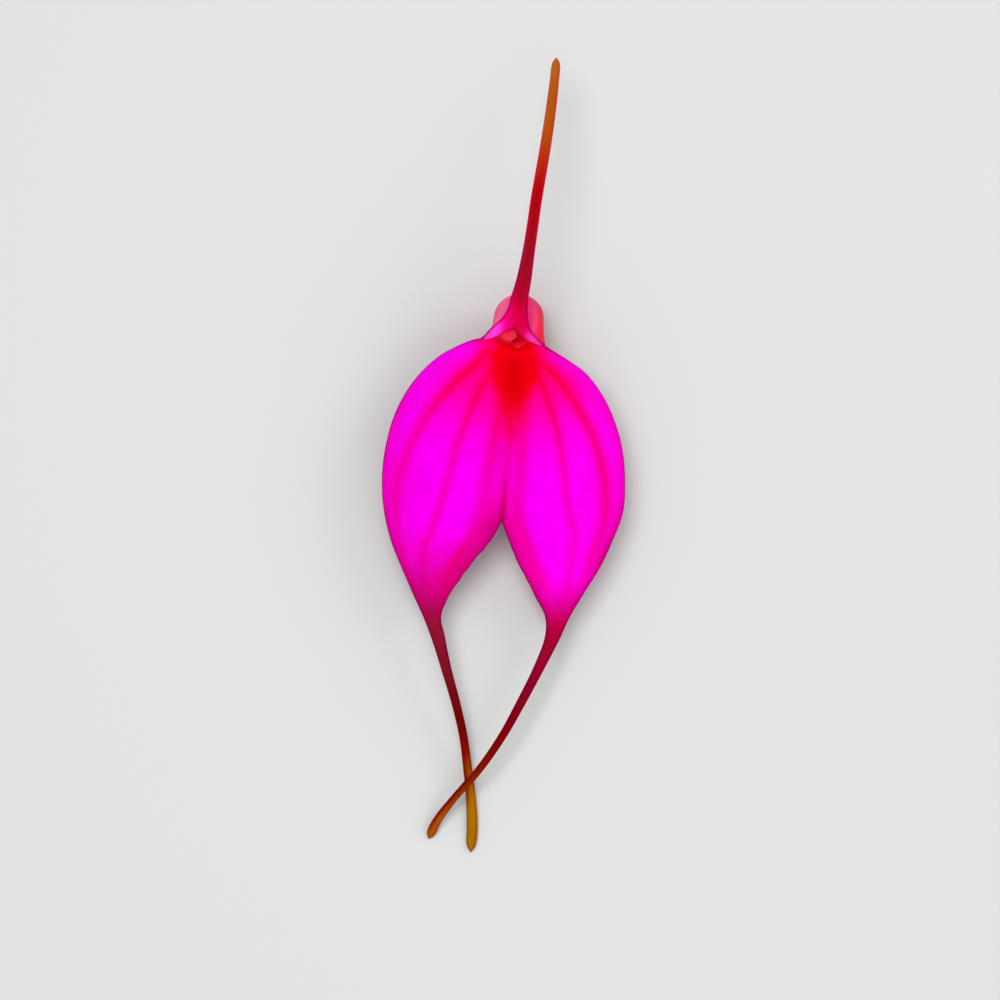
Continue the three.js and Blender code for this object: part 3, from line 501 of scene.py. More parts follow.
def lateral_colours(points, at, q, width, veins, tail_colours, tail_shade, margins):
    """Front and back colours of a lateral sepal. q runs from its outer margin to the seam."""
    x, y = points[..., 0], points[..., 1]
    depth = -y
    outer, inner = q * width, (1 - q) * width
    joined = 1 - smooth(at, NOTCH - 0.2, NOTCH + 0.3)

    # Painted shade: the blade is darker towards its outer margin, which turns back, and over its outer half
    # lower down.
    front = mix(MAGENTA, MAGENTA_EDGE_SHADE, 0.85 * bell(outer, 1.5) * smooth(at, MOUTH + 3, MOUTH + 5))
    outer_half = (1 - smooth(q, 0.1, 0.5)) * smooth(at, MOUTH + 5, MOUTH + 7)
    front = mix(front, MAGENTA_EDGE_SHADE, 0.35 * outer_half)
    edge_shade, (hem_shade, hem_width) = margins
    # Painted shade along the outer margin of the lobe below the notch.
    front = mix(front, LOBE_EDGE_SHADE, edge_shade * bell(outer, 1.3) * smooth(at, NOTCH, NOTCH + 2.5))
    red, deep, blush = throat_fields(x, y)
    front = mix(front, BLUSH, blush)
    band = between(depth, SEAM_BAND) * (1 - smooth(inner, 2.2, 4.2))
    front = mix(front, BLUSH, band)
    near = smooth(at, MOUTH - 0.5, MOUTH + 1)
    vein_tint = mix(VEIN, THROAT_VEIN, 1 - smooth(at, MOUTH + 2, MOUTH + 4))
    for place, strength, wide in zip(veins[:3], veins[3:], VEIN_WIDTHS):
        front = mix(front, vein_tint, near * strength * bell((q - place) * width, wide))
    front = mix(front, RED, red)
    front = mix(front, DEEP_RED, deep)
    front = mix(front, BLUSH, between(depth, SEAM_ROSE) * bell(inner, 0.6) * joined)
    # Painted shade in the crease along the seam towards the notch.
    front = mix(front, SEAM_CREASE_SHADE, between(depth, SEAM_CREASE_DEPTHS) * bell(inner, 0.5) * joined)
    # Painted shade along the inner margin of a lobe from the notch down, carried on to the tail.
    inner_margin_shade = hem_shade * bell(inner, hem_width) * smooth(at, NOTCH - 1.2, NOTCH + 0.5)
    front = mix(front, LOBE_EDGE_SHADE, inner_margin_shade)

    # Painted shade along both margins of the lobe where it narrows into the tail.
    before_tail = 1 - smooth(at, TAIL_START - 0.6, TAIL_START + 0.4)
    shade = (bell(outer, 0.9) + bell(inner, 0.9)) * before_tail
    tail = mix(stops(at, tail_colours), np.array(LOBE_EDGE_SHADE) * 0.85, 0.7 * np.clip(shade, 0, 1))
    lobe = 1 - smooth(at, TAIL_START - 2, TAIL_START - 0.5)
    tail = mix(tail, BLUSH, 0.7 * band * lobe)
    tail = mix(tail, LOBE_EDGE_SHADE, 0.8 * inner_margin_shade * lobe)
    vein = strength_at(veins, q, width) * (1 - smooth(at, TAIL_START - 2, TAIL_START))
    tail = mix(tail, np.array(VEIN) * 0.85, 0.3 * vein)
    red_side, red_from, red_to = tail_shade
    turn = from_to(at, (red_from, red_from + 1.5), (red_to - 1.5, red_to))
    across_tail = q if red_side == "inner" else 1 - q
    tail = mix(tail, TAIL_RED, 0.75 * turn * smooth(across_tail, 0.45, 0.85))
    tail = mix(tail, TAIL_OCHRE, 0.5 * turn * smooth(across_tail, 0.55, 0.15))
    # Painted shade on the edges of the round tail, with its middle a little lighter.
    tail_edge_shade = np.clip(bell(outer, 0.3) + bell(inner, 0.3), 0, 1)
    tail_edge_shade = tail_edge_shade * smooth(at, TAIL_START - 1, TAIL_START + 0.5)
    tail = tail * (1.05 - 0.32 * tail_edge_shade[..., None])
    darken = smooth(at, tail_colours[0][0] - 0.3, tail_colours[1][0])
    front = mix(front, tail, darken)
    front = mix(stops(at, TUBE_INSIDE), front * FACE_SHADE, smooth(at, MOUTH - 1.8, MOUTH - 0.6))

    back = mix(BACK_MAGENTA, BACK_VEIN, 0.8 * strength_at(veins, q, width, 0.45))
    back = mix(back, tail * 0.9 + 8, darken)
    return front, mix(tube_outside(x, at), back, smooth(at, MOUTH - 1, MOUTH + 3))


def strength_at(veins, q, width, wide=0.7):
    """How much of a vein there is at each point of a lateral sepal, all its veins taken alike."""
    return np.max([bell((q - place) * width, wide) for place in veins[:3]], axis=0)


def dorsal_colours(points, at, side):
    """Front and back colours of half the dorsal sepal. side runs from its left margin, -1, to 1."""
    x, y = points[..., 0], points[..., 1]
    along = stops(at, DORSAL_COLOURS)
    high = smooth(at, MOUTH + 1, MOUTH + 5)
    low = 1 - smooth(at, MOUTH + 0.5, MOUTH + 2)
    # Painted light and shade: the left side of the dorsal sepal is lighter and pinker, its right side darker.
    left = smooth(-side, -0.1 - 0.2 * low, 1.1 - 0.3 * low)
    front = mix(along, DORSAL_LIT_PINK, left * (0.95 - 0.75 * high))
    front = mix(front, DORSAL_PAINTED_SHADE, 0.6 * smooth(side, 0, 0.9) * (1 - 0.4 * high))
    # Painted highlights where the base of the dorsal sepal curves into the lateral sepals, left and right.
    front = mix(front, WING_HIGHLIGHT, smooth(-x, 1.2, 3.0) * (1 - smooth(y, 2.0, 3.4)))
    front = mix(front, FOOT_HIGHLIGHT, smooth(x, 1.1, 2.3) * (1 - smooth(y, 0.2, 1.9)))
    corners = smooth(np.abs(x), 1.1, 2.4) * smooth(at, MOUTH - 2, MOUTH)
    inside = mix(stops(at, TUBE_INSIDE), ROOF_PINK, corners)
    # Painted light: the lower left of the dorsal sepal is brightened.
    front = front * (FACE_SHADE + 0.08 * left * low)[..., None]
    front = mix(inside, front, smooth(at, MOUTH - 0.5, MOUTH + 0.2))
    return front, mix(tube_outside(x, at), along * 0.92 + 8, smooth(at, MOUTH - 0.5, MOUTH + 2))


# ---------- Sepals ----------
def unit(vector):
    vector = np.asarray(vector, float)
    return vector / np.linalg.norm(vector)


def tube_rungs():
    rungs = {"left": [], "right": [], "dorsal_right": [], "dorsal_left": []}
    for centre, wide, deep, way in TUBE_RINGS:
        centre = np.array(centre, float)
        side = np.array([wide, 0, 0], float)
        roof = unit(way) * deep
        quarters = {"left": (-side, -roof), "right": (-roof, side),
                    "dorsal_right": (side, roof), "dorsal_left": (roof, -side)}
        for strip, (start, end) in quarters.items():
            rungs[strip].append([centre + start, centre + start + end * ARC,
                                 centre + end + start * ARC, centre + end])
    for strip, (start, way_start, end, way_end) in MOUTH_RUNGS.items():
        start, end = np.array(start, float), np.array(end, float)
        rungs[strip].append([start, start + way_start, end + way_end, end])
    return rungs


def blade_rung(start, end, crown_start, crown_end, lean):
    start, end = np.asarray(start, float), np.asarray(end, float)
    third = start + (end - start) * (1 / 3 + lean)
    two_thirds = start + (end - start) * (2 / 3 + lean)
    return [start, third + (0, 0, crown_start), two_thirds + (0, 0, crown_end), end]


def tail_sides(tail, before):
    middle = np.array([spot[:3] for spot in tail], float)
    sides = []
    for row, spot in enumerate(middle):
        ahead = middle[min(row + 1, len(middle) - 1)] - (middle[row - 1] if row else before)
        side = unit(np.cross((0, 0, 1), ahead)) * tail[row][3]
        sides.append((spot - side, spot, spot + side))
    return sides


def z_at_height(y, height):
    return (height - MOUTH_PLACE[2] - y * math.sin(FACE_TILT)) / math.cos(FACE_TILT)


def all_rungs():
    rungs = tube_rungs()
    for (x, y, z, outer, inner, lean), seam in zip(LEFT_OUTER, SEAM + LEFT_INNER):
        rungs["left"].append(blade_rung((x, y, z), seam, outer, inner, lean))
    for (x, y, z, outer, inner, lean), seam in zip(RIGHT_OUTER, SEAM + RIGHT_INNER):
        rungs["right"].append(blade_rung(seam, (x, y, z), inner, outer, -lean))
    for strip, tail in (("left", LEFT_TAIL), ("right", RIGHT_TAIL)):
        standing = [(x, y, z_at_height(y, height), half) for x, y, height, half in tail]
        before = (rungs[strip][-1][0] + rungs[strip][-1][3]) / 2
        for near, _, far in tail_sides(standing, before):
            crown = TAIL_CROWN * np.linalg.norm(far - near)
            rungs[strip].append(blade_rung(near, far, crown, crown, 0))
    rows = [tuple(np.array(spot, float) for spot in row) for row in DORSAL]
    for right, middle, left in rows + tail_sides(DORSAL_TAIL, rows[-1][1]):
        crown = min(DORSAL_CROWN, TAIL_CROWN * np.linalg.norm(left - right))
        top = middle + (0, 0, crown)
        rungs["dorsal_right"].append(blade_rung(right, top, crown / 3, crown / 3, 0))
        rungs["dorsal_left"].append(blade_rung(top, left, crown / 3, crown / 3, 0))
    return {strip: np.array(rows) for strip, rows in rungs.items()}


def strip_points(rungs, corners, at, t):
    controls = np.stack([line_through(rungs[:, k], at, corners[k]) for k in range(4)])
    return across(controls, t)


def places(end, steps):
    """Rows of a strip, counted in rungs."""
    return np.linspace(0, end, end * steps + 1)


def thickness(at, tail_start, end):
    return np.interp(
        at, [0, MOUTH + 1, MOUTH + 3, tail_start - 1.5, tail_start + 1, end],
        [TUBE_THICKNESS, TUBE_THICKNESS, BLADE_THICKNESS, BLADE_THICKNESS, TAIL_THICKNESS, TIP_THICKNESS])


# How strongly the inside of the mouth gives off painted light.
PAINTED_MOUTH_GLOW = 0.2
LATERAL_COLUMNS = 56
DORSAL_COLUMNS = 22
ROW_STEPS = 10
LATERAL_LOOKS = {
    "left": (LEFT_VEINS, LEFT_TAIL_COLOURS, LEFT_TAIL_SHADE, LEFT_MARGINS),
    "right": (RIGHT_VEINS, RIGHT_TAIL_COLOURS, RIGHT_TAIL_SHADE, RIGHT_MARGINS),
}


def wall_glow(at):
    """How strongly the tube gives off light just inside the mouth: painted light that lifts the shade there.
    """
    return PAINTED_MOUTH_GLOW * from_to(at, (MOUTH - 5, MOUTH - 1), (MOUTH - 0.3, MOUTH + 0.7))


def vein_lines(table, at):
    """Where a lateral sepal's three veins run at each row, and then how strong each is."""
    rungs = [row[0] for row in table]
    lines = curve([row[1:] for row in table], np.interp(at, rungs, range(len(rungs)))).T
    return np.maximum(lines, 0)[..., None]


def add_relief(points, at, q, width, veins, ruffle):
    """Sinks the veins and the seam of a lateral sepal, and waves its inner margin."""
    inner = (1 - q) * width
    free = from_to(at, (MOUTH, MOUTH + 3), (TAIL_START - 2, TAIL_START + 0.5)) * smooth(inner, 0, 1.2)
    for place, strength in zip(veins[:3], veins[3:]):
        points[..., 2] -= VEIN_DEPTH * free * (strength * bell((q - place) * width, 0.6))
    low_seam = from_to(at, (MOUTH + 4, NOTCH - 1), (NOTCH, NOTCH + 1))
    points[..., 2] -= SEAM_DEPTH * low_seam * bell(inner, 0.4)
    high_seam = from_to(at, (MOUTH + 0.5, MOUTH + 2), (MOUTH + 4, NOTCH - 1))
    points[..., 2] += SEAM_FILL * high_seam * bell(inner, 0.9)
    wave = sum(share * np.sin(2 * np.pi * count * at + start) for share, count, start in RUFFLE_WAVES)
    margin = from_to(at, (NOTCH + 0.5, NOTCH + 1.3), (TAIL_START - 1.2, TAIL_START)) * bell(inner, 0.7)
    points[..., 0] += ruffle * margin * wave


def sepals():
    rungs = all_rungs()
    sheet = Sheet()
    end = len(rungs["left"]) - 1
    rows = places(end, ROW_STEPS)
    at = rows[:, None]
    t = np.linspace(0, 1, LATERAL_COLUMNS + 1)
    for strip, corners, q in (("left", (MOUTH, 0, 0, NOTCH), t), ("right", (NOTCH, 0, 0, MOUTH), 1 - t)):
        table, *looks = LATERAL_LOOKS[strip]
        points = strip_points(rungs[strip], corners, rows, t)
        width = row_lengths(points)
        veins = vein_lines(table, rows)
        add_relief(points, at, q, width, veins, RUFFLE[strip])
        front, back = lateral_colours(points, at, q, width, veins, *looks)
        share = 1 - SIDE_THINNING * np.where(at > MOUTH, 1, 0) * (1 - np.sin(np.pi * q))
        sheet.grid(points, front=front, back=back, thickness=share * thickness(at, TAIL_START, end),
                   plain=smooth(at, TAIL_START + 1, TAIL_START + 5), glow=wall_glow(at))

    end = len(rungs["dorsal_left"]) - 1
    rows = places(end, ROW_STEPS)
    at = rows[:, None]
    t = np.linspace(0, 1, DORSAL_COLUMNS + 1)
    for strip, corners, side in (
            ("dorsal_right", (MOUTH, 0, 0, 0), 1 - t), ("dorsal_left", (0, 0, 0, MOUTH), -t)):
        points = strip_points(rungs[strip], corners, rows, t)
        front, back = dorsal_colours(points, at, side)
        sheet.grid(points, front=front, back=back, thickness=thickness(at, DORSAL_TAIL_START, end),
                   plain=smooth(at, DORSAL_TAIL_START, end - 3), glow=wall_glow(at))
    return sheet.solid("sepal_calyx", MARGIN_THICKNESS)


# ---------- Petals, lip and column, inside the tube ----------
TUBE_MIDDLE = [centre for centre, *_ in TUBE_RINGS] + [tuple((np.array(MOUTH_FLOOR) + MOUTH_ROOF) / 2)]
TUBE_WAYS = [way for *_, way in TUBE_RINGS] + [Vector(MOUTH_ROOF) - Vector(MOUTH_FLOOR)]
TUBE_ROOF = [Vector(way).normalized()[:] for way in TUBE_WAYS]


def in_tube(ring, over, up):
    """A place in the tube: how far along its rings, how far across it and towards its roof."""
    ring = np.asarray(ring, float)
    roof = curve(TUBE_ROOF, ring)
    roof /= np.linalg.norm(roof, axis=1, keepdims=True)
    side = np.stack([over, np.zeros_like(ring), np.zeros_like(ring)], axis=1)
    return curve(TUBE_MIDDLE, ring) + side + roof * np.asarray(up)[:, None], roof


def rows_through(table, count):
    """A table's rows, with as many more between them as are needed to make count of them."""
    return curve(np.array(table, float), np.linspace(0, len(table) - 1, count)).T


BLADE_COLUMNS = 16
BLADE_MARGIN = 0.3
TIP_ROUNDING = 0.86  # how far along a petal or lip its round end begins


def blade(name, near, far, lift, colours, thick, keel):
    """A thin blade between two edges, lifted in between, with a keel down its middle."""
    t = np.linspace(0, 1, BLADE_COLUMNS + 1)
    controls = np.stack([near, near + (far - near) / 3 + lift, near + (far - near) * 2 / 3 + lift, far])
    front, back = colours(np.linspace(0, 1, len(near))[:, None], t)
    wide = np.linalg.norm(far - near, axis=1)[:, None]
    swell = 1 + keel * bell((t - 0.5) * np.maximum(wide, 0.3), 0.3)
    sheet = Sheet()
    sheet.grid(across(controls, t), front=front, back=back, thickness=thick * swell)
    return sheet.solid(name, BLADE_MARGIN)


PETAL_ROWS = [  # ring of the tube, across and up from its middle, half width, turn in degrees
    (1.6, 1.2, 0.1, 0.5, 0), (2.2, 1.45, 0.05, 0.75, 0), (2.9, 1.65, -0.15, 0.9, 5),
    (3.7, 1.85, -0.3, 0.9, 10), (4.5, 2.0, -0.35, 0.85, 20), (5.3, 2.0, -0.25, 0.85, 30),
    (6.1, 1.8, 0, 0.85, 45), (6.8, 1.5, 0.4, 0.85, 65), (7.25, 1.1, 0.7, 0.95, 80),
    (7.6, 0.9, 0.6, 1.1, 88), (7.8, 0.85, 0.2, 1.05, 90), (7.85, 0.85, -0.15, 0.75, 90),
]
RIGHT_PETAL_END = 8  # rows of the right petal, which is shorter
PETAL_STEPS = 60
PETAL_ARCH = 0.25
PETAL_THICKNESS = 0.5
PETAL_KEEL = 0.5  # as a share of the thickness, which it adds to
PETAL_PALE = (252, 186, 196)
PETAL_TIP = (206, 40, 68)
PETAL_VEIN = (214, 56, 92)
PETAL_BACK = (224, 130, 146)


def petal(name, hand, table):
    ring, over, up, half, turn = rows_through(table, PETAL_STEPS)
    half = rounded_tip(half)
    turn = np.radians(turn)
    near, _ = in_tube(ring, hand * (over + half * np.sin(turn)), up - half * np.cos(turn))
    far, _ = in_tube(ring, hand * (over - half * np.sin(turn)), up + half * np.cos(turn))
    near, far = (near, far) if hand > 0 else (far, near)

    def colours(along, t):
        front = mix(PETAL_PALE, PETAL_TIP, smooth(along, 0.4, 0.65))
        vein = bell(t - 0.5, 0.1) * (1 - smooth(along, 0.6, 0.85))
        front = mix(front, PETAL_VEIN, 0.35 * vein)
        return front, mix(front, PETAL_BACK, 0.4 * (1 - smooth(along, 0.4, 0.7)))

    return blade(name, near, far, (-PETAL_ARCH * hand, 0, 0), colours, PETAL_THICKNESS, PETAL_KEEL)


LIP_ROWS = [  # the same, without the turn
    (1.7, 0, -0.95, 0.5), (2.3, 0, -1.05, 0.75), (3.0, 0, -1.25, 0.95), (3.7, 0, -1.6, 0.9),
    (4.4, 0, -1.8, 0.9), (5.1, 0, -1.95, 0.95), (5.9, 0, -1.75, 1.0), (6.6, 0.1, -1.2, 1.05),
    (7.1, 0.3, -1.0, 1.1), (7.5, 0.5, -1.05, 1.1), (7.95, 0.5, -1.2, 0.75),
]
LIP_STEPS = 50
LIP_ARCH = 0.3
LIP_THICKNESS = 0.6
LIP_SWELL = 0.35  # down its middle, as a share of the thickness
LIP_KEELS = (0.33, 0.67)
LIP_ROSE = (226, 84, 108)
LIP_RED = (236, 16, 44)
LIP_KEEL = (246, 140, 150)
LIP_TIP = (204, 14, 36)
# Painted shade: the dark spot in the hollow near the lip's tip.
LIP_HOLLOW_SHADE = (140, 0, 8)
LIP_BACK = (220, 100, 120)


def lip():
    ring, over, up, half = rows_through(LIP_ROWS, LIP_STEPS)
    half = rounded_tip(half)
    near, roof = in_tube(ring, over - half, up)
    far, _ = in_tube(ring, over + half, up)

    def colours(along, t):
        front = mix(LIP_ROSE, LIP_RED, smooth(along, 0.5, 0.8))
        keels = sum(bell(t - place, 0.06) for place in LIP_KEELS)
        front = mix(front, LIP_KEEL, 0.5 * keels * (1 - smooth(along, 0.6, 0.8)))
        front = mix(front, LIP_TIP, smooth(along, 0.9, 0.97))
        # Painted shade: a dark spot in the hollow near the tip.
        front = mix(front, LIP_HOLLOW_SHADE, bell(along - 0.88, 0.06) * bell(t - 0.42, 0.35))
        return front, mix(front, LIP_BACK, 0.4 * (1 - smooth(along, 0.4, 0.7)))

    return blade("labellum", near, far, roof * LIP_ARCH, colours, LIP_THICKNESS, LIP_SWELL)


def rounded_tip(half):
    """Half widths of a blade, rounded off to nothing over the last of its rows."""
    place = np.linspace(0, 1, len(half))
    return half * np.sqrt(1 - np.clip((place - TIP_ROUNDING) / (1 - TIP_ROUNDING), 0, 1) ** 2)


def around(sides):
    """The angles of the corners of a ring."""
    return np.arange(sides) / sides * 2 * np.pi


def lofted(name, rings, tints, place=Matrix.Identity(4)):
    """A closed body through rings of corners, tinted ring by ring or corner by corner."""
    rows, sides = rings.shape[:2]
    index = np.arange(rows * sides).reshape(rows, sides)
    ahead = np.roll(index, -1, axis=1)
    quads = np.stack([index[:-1], ahead[:-1], ahead[1:], index[1:]], axis=-1).reshape(-1, 4).tolist()
    corners = np.vstack([rings.reshape(-1, 3), rings[0].mean(axis=0), rings[-1].mean(axis=0)])
    first, last = rows * sides, rows * sides + 1
    quads += np.stack([np.full(sides, first), ahead[0], index[0]], axis=-1).tolist()
    quads += np.stack([np.full(sides, last), index[-1], ahead[-1]], axis=-1).tolist()
    tints = np.broadcast_to(tints, rings.shape)
    tint = np.vstack([tints.reshape(-1, 3), tints[0].mean(axis=0), tints[-1].mean(axis=0)])
    return body(name, corners, quads, tint, place=place)


COLUMN_ROWS = [  # ring of the tube, up from its middle, radius
    (1.55, 0.3, 0.5), (2.2, 0.4, 0.55), (3.0, 0.45, 0.65), (4.0, 0.35, 0.75), (5.0, 0.3, 0.8),
    (5.6, 0.3, 0.8), (5.9, 0.25, 0.5),
]
COLUMN_STEPS = 40
COLUMN_SIDES = 40
COLUMN_TINTS = [
    (0, (232, 190, 170)), (0.5, (246, 214, 206)), (0.8, (240, 178, 186)), (0.86, (250, 236, 216)),
    (1, (246, 226, 200)),
]


def column():
    """The club of the flower: half round, winged along its sides, with the anther cap at its end."""
    ring, up, radius = rows_through(COLUMN_ROWS, COLUMN_STEPS)
    along = np.linspace(0, 1, COLUMN_STEPS)[:, None]
    turn = around(COLUMN_SIDES)
    wings = 1 + 0.16 * bell(np.abs(np.sin(turn)) - 0.25, 0.22) * smooth(along, 0.3, 0.7)
    cap = 1 + 0.12 * bell(along - 0.93, 0.06) - 0.12 * bell(along - 0.82, 0.03)
    reach = radius[:, None] * wings * cap
    rings = np.empty((COLUMN_STEPS, COLUMN_SIDES, 3))
    for side in range(COLUMN_SIDES):
        rings[:, side], _ = in_tube(ring, reach[:, side] * math.cos(turn[side]),
                                    up + reach[:, side] * math.sin(turn[side]))
    return lofted("column_club", rings[:, ::-1], stops(along, COLUMN_TINTS), place=TO_ROW)


# ---------- Ovary, bract and stem, lying on the surface ----------
JOINT_GAP = 0.35
FOOT_GAP = JOINT_GAP + 0.45  # from the middle of the tube's foot to the top of the ovary in the solids
OVARY_LENGTH = 6.5
PEDICEL_LENGTH = 7
STEM_LENGTH = 22
TUBE_FOOT = TO_ROW @ Vector(TUBE_RINGS[0][0])
FOOT_X = TUBE_FOOT.x
FOOT_Y = TUBE_FOOT.y - FOOT_GAP
STEM_TOP_Y = FOOT_Y - OVARY_LENGTH - PEDICEL_LENGTH - JOINT_GAP


def stalk(spots, count, sides, shape):
    """Rings of a round stalk through spots of (x, y, z, radius)."""
    at = np.linspace(0, len(spots) - 1, count)
    middle = curve(spots, at)[:, :3]
    radius = np.interp(at, range(len(spots)), [spot[3] for spot in spots])
    ahead = np.gradient(middle, axis=0)
    ahead[:, 2] = 0
    ahead /= np.linalg.norm(ahead, axis=1, keepdims=True)
    sideways = np.stack([-ahead[:, 1], ahead[:, 0], np.zeros(count)], axis=1)
    turn = around(sides)
    reach = radius[:, None] * shape(turn, np.linspace(0, 1, count)[:, None])
    rings = middle[:, None, :] + sideways[:, None, :] * (reach * np.sin(turn))[..., None]
    rings[..., 2] -= reach * np.cos(turn)
    return rings


OVARY_ROWS = [  # down from the tube's foot, x, z and radius
    (-FOOT_GAP - 0.1, 0, TUBE_FOOT.z, OVARY_RADIUS + 0.1),
    (0.25 * OVARY_LENGTH, -0.1, OVARY_RADIUS + 0.35, OVARY_RADIUS),
    (0.7 * OVARY_LENGTH, -0.25, OVARY_RADIUS + 0.1, OVARY_RADIUS - 0.15),
    (OVARY_LENGTH, -0.35, 1.35, PEDICEL_RADIUS + 0.1),
    (OVARY_LENGTH + 0.5 * PEDICEL_LENGTH, -0.3, 1.25, PEDICEL_RADIUS),
    (OVARY_LENGTH + PEDICEL_LENGTH + JOINT_GAP, 0.1, 1.2, PEDICEL_RADIUS),
]
OVARY_STEPS = 110
OVARY_SIDES = 72
RIBS = 6
RIB_HEIGHT = 0.13  # as a share of the radius
RIB_CREASE = 0.05
RIB_END = 0.62  # how far down the ovary and pedicel the ribs fade out
OVARY_TINTS = [
    (0, (150, 92, 84)), (0.12, (118, 96, 62)), (0.45, (110, 108, 58)), (0.6, (126, 104, 60)),
    (1, (120, 118, 62)),
]
OVARY_GROOVE = (96, 34, 44)


def ovary():
    spots = [(FOOT_X + x, FOOT_Y - down, z, radius) for down, x, z, radius in OVARY_ROWS]

    def ribs(turn, at):
        ridge = RIB_HEIGHT * np.cos(RIBS * turn) - RIB_CREASE * bell(np.sin(RIBS * turn / 2), 0.3)
        return 1 + np.clip(1 - at / RIB_END, 0, 1) * ridge + 0.01 * np.sin(3 * turn + 20 * at)

    along = np.linspace(0, 1, OVARY_STEPS)[:, None]
    groove = np.maximum(-np.cos(RIBS * around(OVARY_SIDES)), 0) * np.clip(1 - along / RIB_END, 0, 1)
    tints = mix(stops(along, OVARY_TINTS), OVARY_GROOVE, 0.75 * groove)
    return lofted("ovary_pedicel", stalk(spots, OVARY_STEPS, OVARY_SIDES, ribs), tints)


STEM_DRIFT = (0.18, 0.33)
STEM_WAIST = 0.08
STEM_AXIS = 0.78  # its height over the surface, as a share of its radius, so that it lies flat below
STEM_STEPS = 140
STEM_SIDES = 56
STEM_TINTS = [
    (0, (134, 128, 70)), (0.05, (116, 132, 62)), (0.6, (98, 128, 54)), (0.985, (104, 128, 58)),
    (1, (176, 186, 124)),
]


def peduncle():
    spots = []
    for share in (0, 0.25, 0.5, 0.75, 1):
        down = share * STEM_LENGTH
        x = OVARY_ROWS[-1][1] + down * (STEM_DRIFT[0] + (STEM_DRIFT[1] - STEM_DRIFT[0]) * share)
        radius = STEM_RADIUS * (1 - STEM_WAIST * math.sin(math.pi * share))
        spots.append((FOOT_X + x, STEM_TOP_Y - down, STEM_AXIS * STEM_RADIUS, radius))

    def shape(turn, at):
        """A swell below the joint, a rounded top and cut end, and faint ridges."""
        swell = 0.05 * bell(at - 0.06, 0.03) - 0.28 * bell(at, 0.025) - 0.1 * bell(at - 1, 0.006)
        return 1 + swell + 0.012 * np.cos(9 * turn) + 0.01 * np.sin(31 * at + 2 * turn)

    tints = stops(np.linspace(0, 1, STEM_STEPS)[:, None], STEM_TINTS)
    return lofted("flower_stem", stalk(spots, STEM_STEPS, STEM_SIDES, shape), tints)


BRACT_LENGTH = 7
BRACT_START = -1.2
BRACT_RADII = (STEM_RADIUS + JOINT_GAP + 0.3, 1.65)
BRACT_HUG = 0.42  # how much closer to the stem the sheath is at its foot
BRACT_WRAP = 100  # degrees to each side of its top
BRACT_TIP = 0.35  # how far along it begins to taper
BRACT_ROWS = 60
BRACT_COLUMNS = 48
BRACT_THICKNESS = 0.3
BRACT_MARGIN = 0.2
BRACT_VEINS = 26
BRACT_STRAW = (196, 186, 138)
BRACT_VEIN = (150, 128, 84)
BRACT_BROWN = (132, 96, 66)
BRACT_EDGE = (150, 110, 78)


def floral_bract():
    """A papery sheath with parallel veins, open below, its free tip drawn to a point."""
    along = np.linspace(0, 1, BRACT_ROWS)[:, None]
    t = np.linspace(-1, 1, BRACT_COLUMNS + 1)
    taper = 1 - np.clip((along - BRACT_TIP) / (1 - BRACT_TIP), 0, 1) ** 2
    turn = np.radians(BRACT_WRAP) * taper * t
    radius = BRACT_RADII[0] + (BRACT_RADII[1] - BRACT_RADII[0]) * along - BRACT_HUG * bell(along, 0.16)
    radius = radius + 0.05 * np.sin(4 * turn + 5 * along) * smooth(along, 0.2, 1)
    radius = radius + 0.03 * np.cos(BRACT_VEINS * t)
    points = np.stack([
        FOOT_X + OVARY_ROWS[-1][1] + radius * np.sin(turn),
        STEM_TOP_Y + BRACT_START + along * BRACT_LENGTH + 0 * turn,
        STEM_RADIUS + radius * np.cos(turn),
    ], axis=-1)[::-1]
    tint = mix(BRACT_STRAW, BRACT_VEIN, 0.6 * (0.5 + 0.5 * np.cos(BRACT_VEINS * t)))
    tint = mix(tint, BRACT_BROWN, 0.8 * smooth(along, 0.7, 1)[::-1])
    tint = mix(tint, BRACT_EDGE, 0.7 * bell(1 - np.abs(t), 0.12))
    sheet = Sheet()
    sheet.grid(points, front=tint, back=tint, thickness=BRACT_THICKNESS)
    return sheet.solid("bract_sheath", BRACT_MARGIN, place=Matrix.Identity(4))


# ---------- Materials ----------
CLOUD = {"Scale": 420.0, "Detail": 5.0, "Roughness": 0.6}
MOTTLED = (0.72, 0.6, 0.72, 1)  # what the colour is multiplied by where it is mottled
CELL_HEIGHT = 0.00006
POLISH = (-0.08, 0.1)  # how far the roughness strays
LIGHT_DEPTH = 0.004  # under the skin, for red light
LIGHT_DEPTHS = (1.0, 0.1, 0.35)  # as shares of it


def set_inputs(node, inputs):
    """Sets a node's inputs to values, or links them to other nodes' sockets."""
    for key, value in inputs.items():
        if isinstance(value, bpy.types.NodeSocket):
            node.id_data.links.new(value, node.inputs[key])
        else:
            node.inputs[key].default_value = value


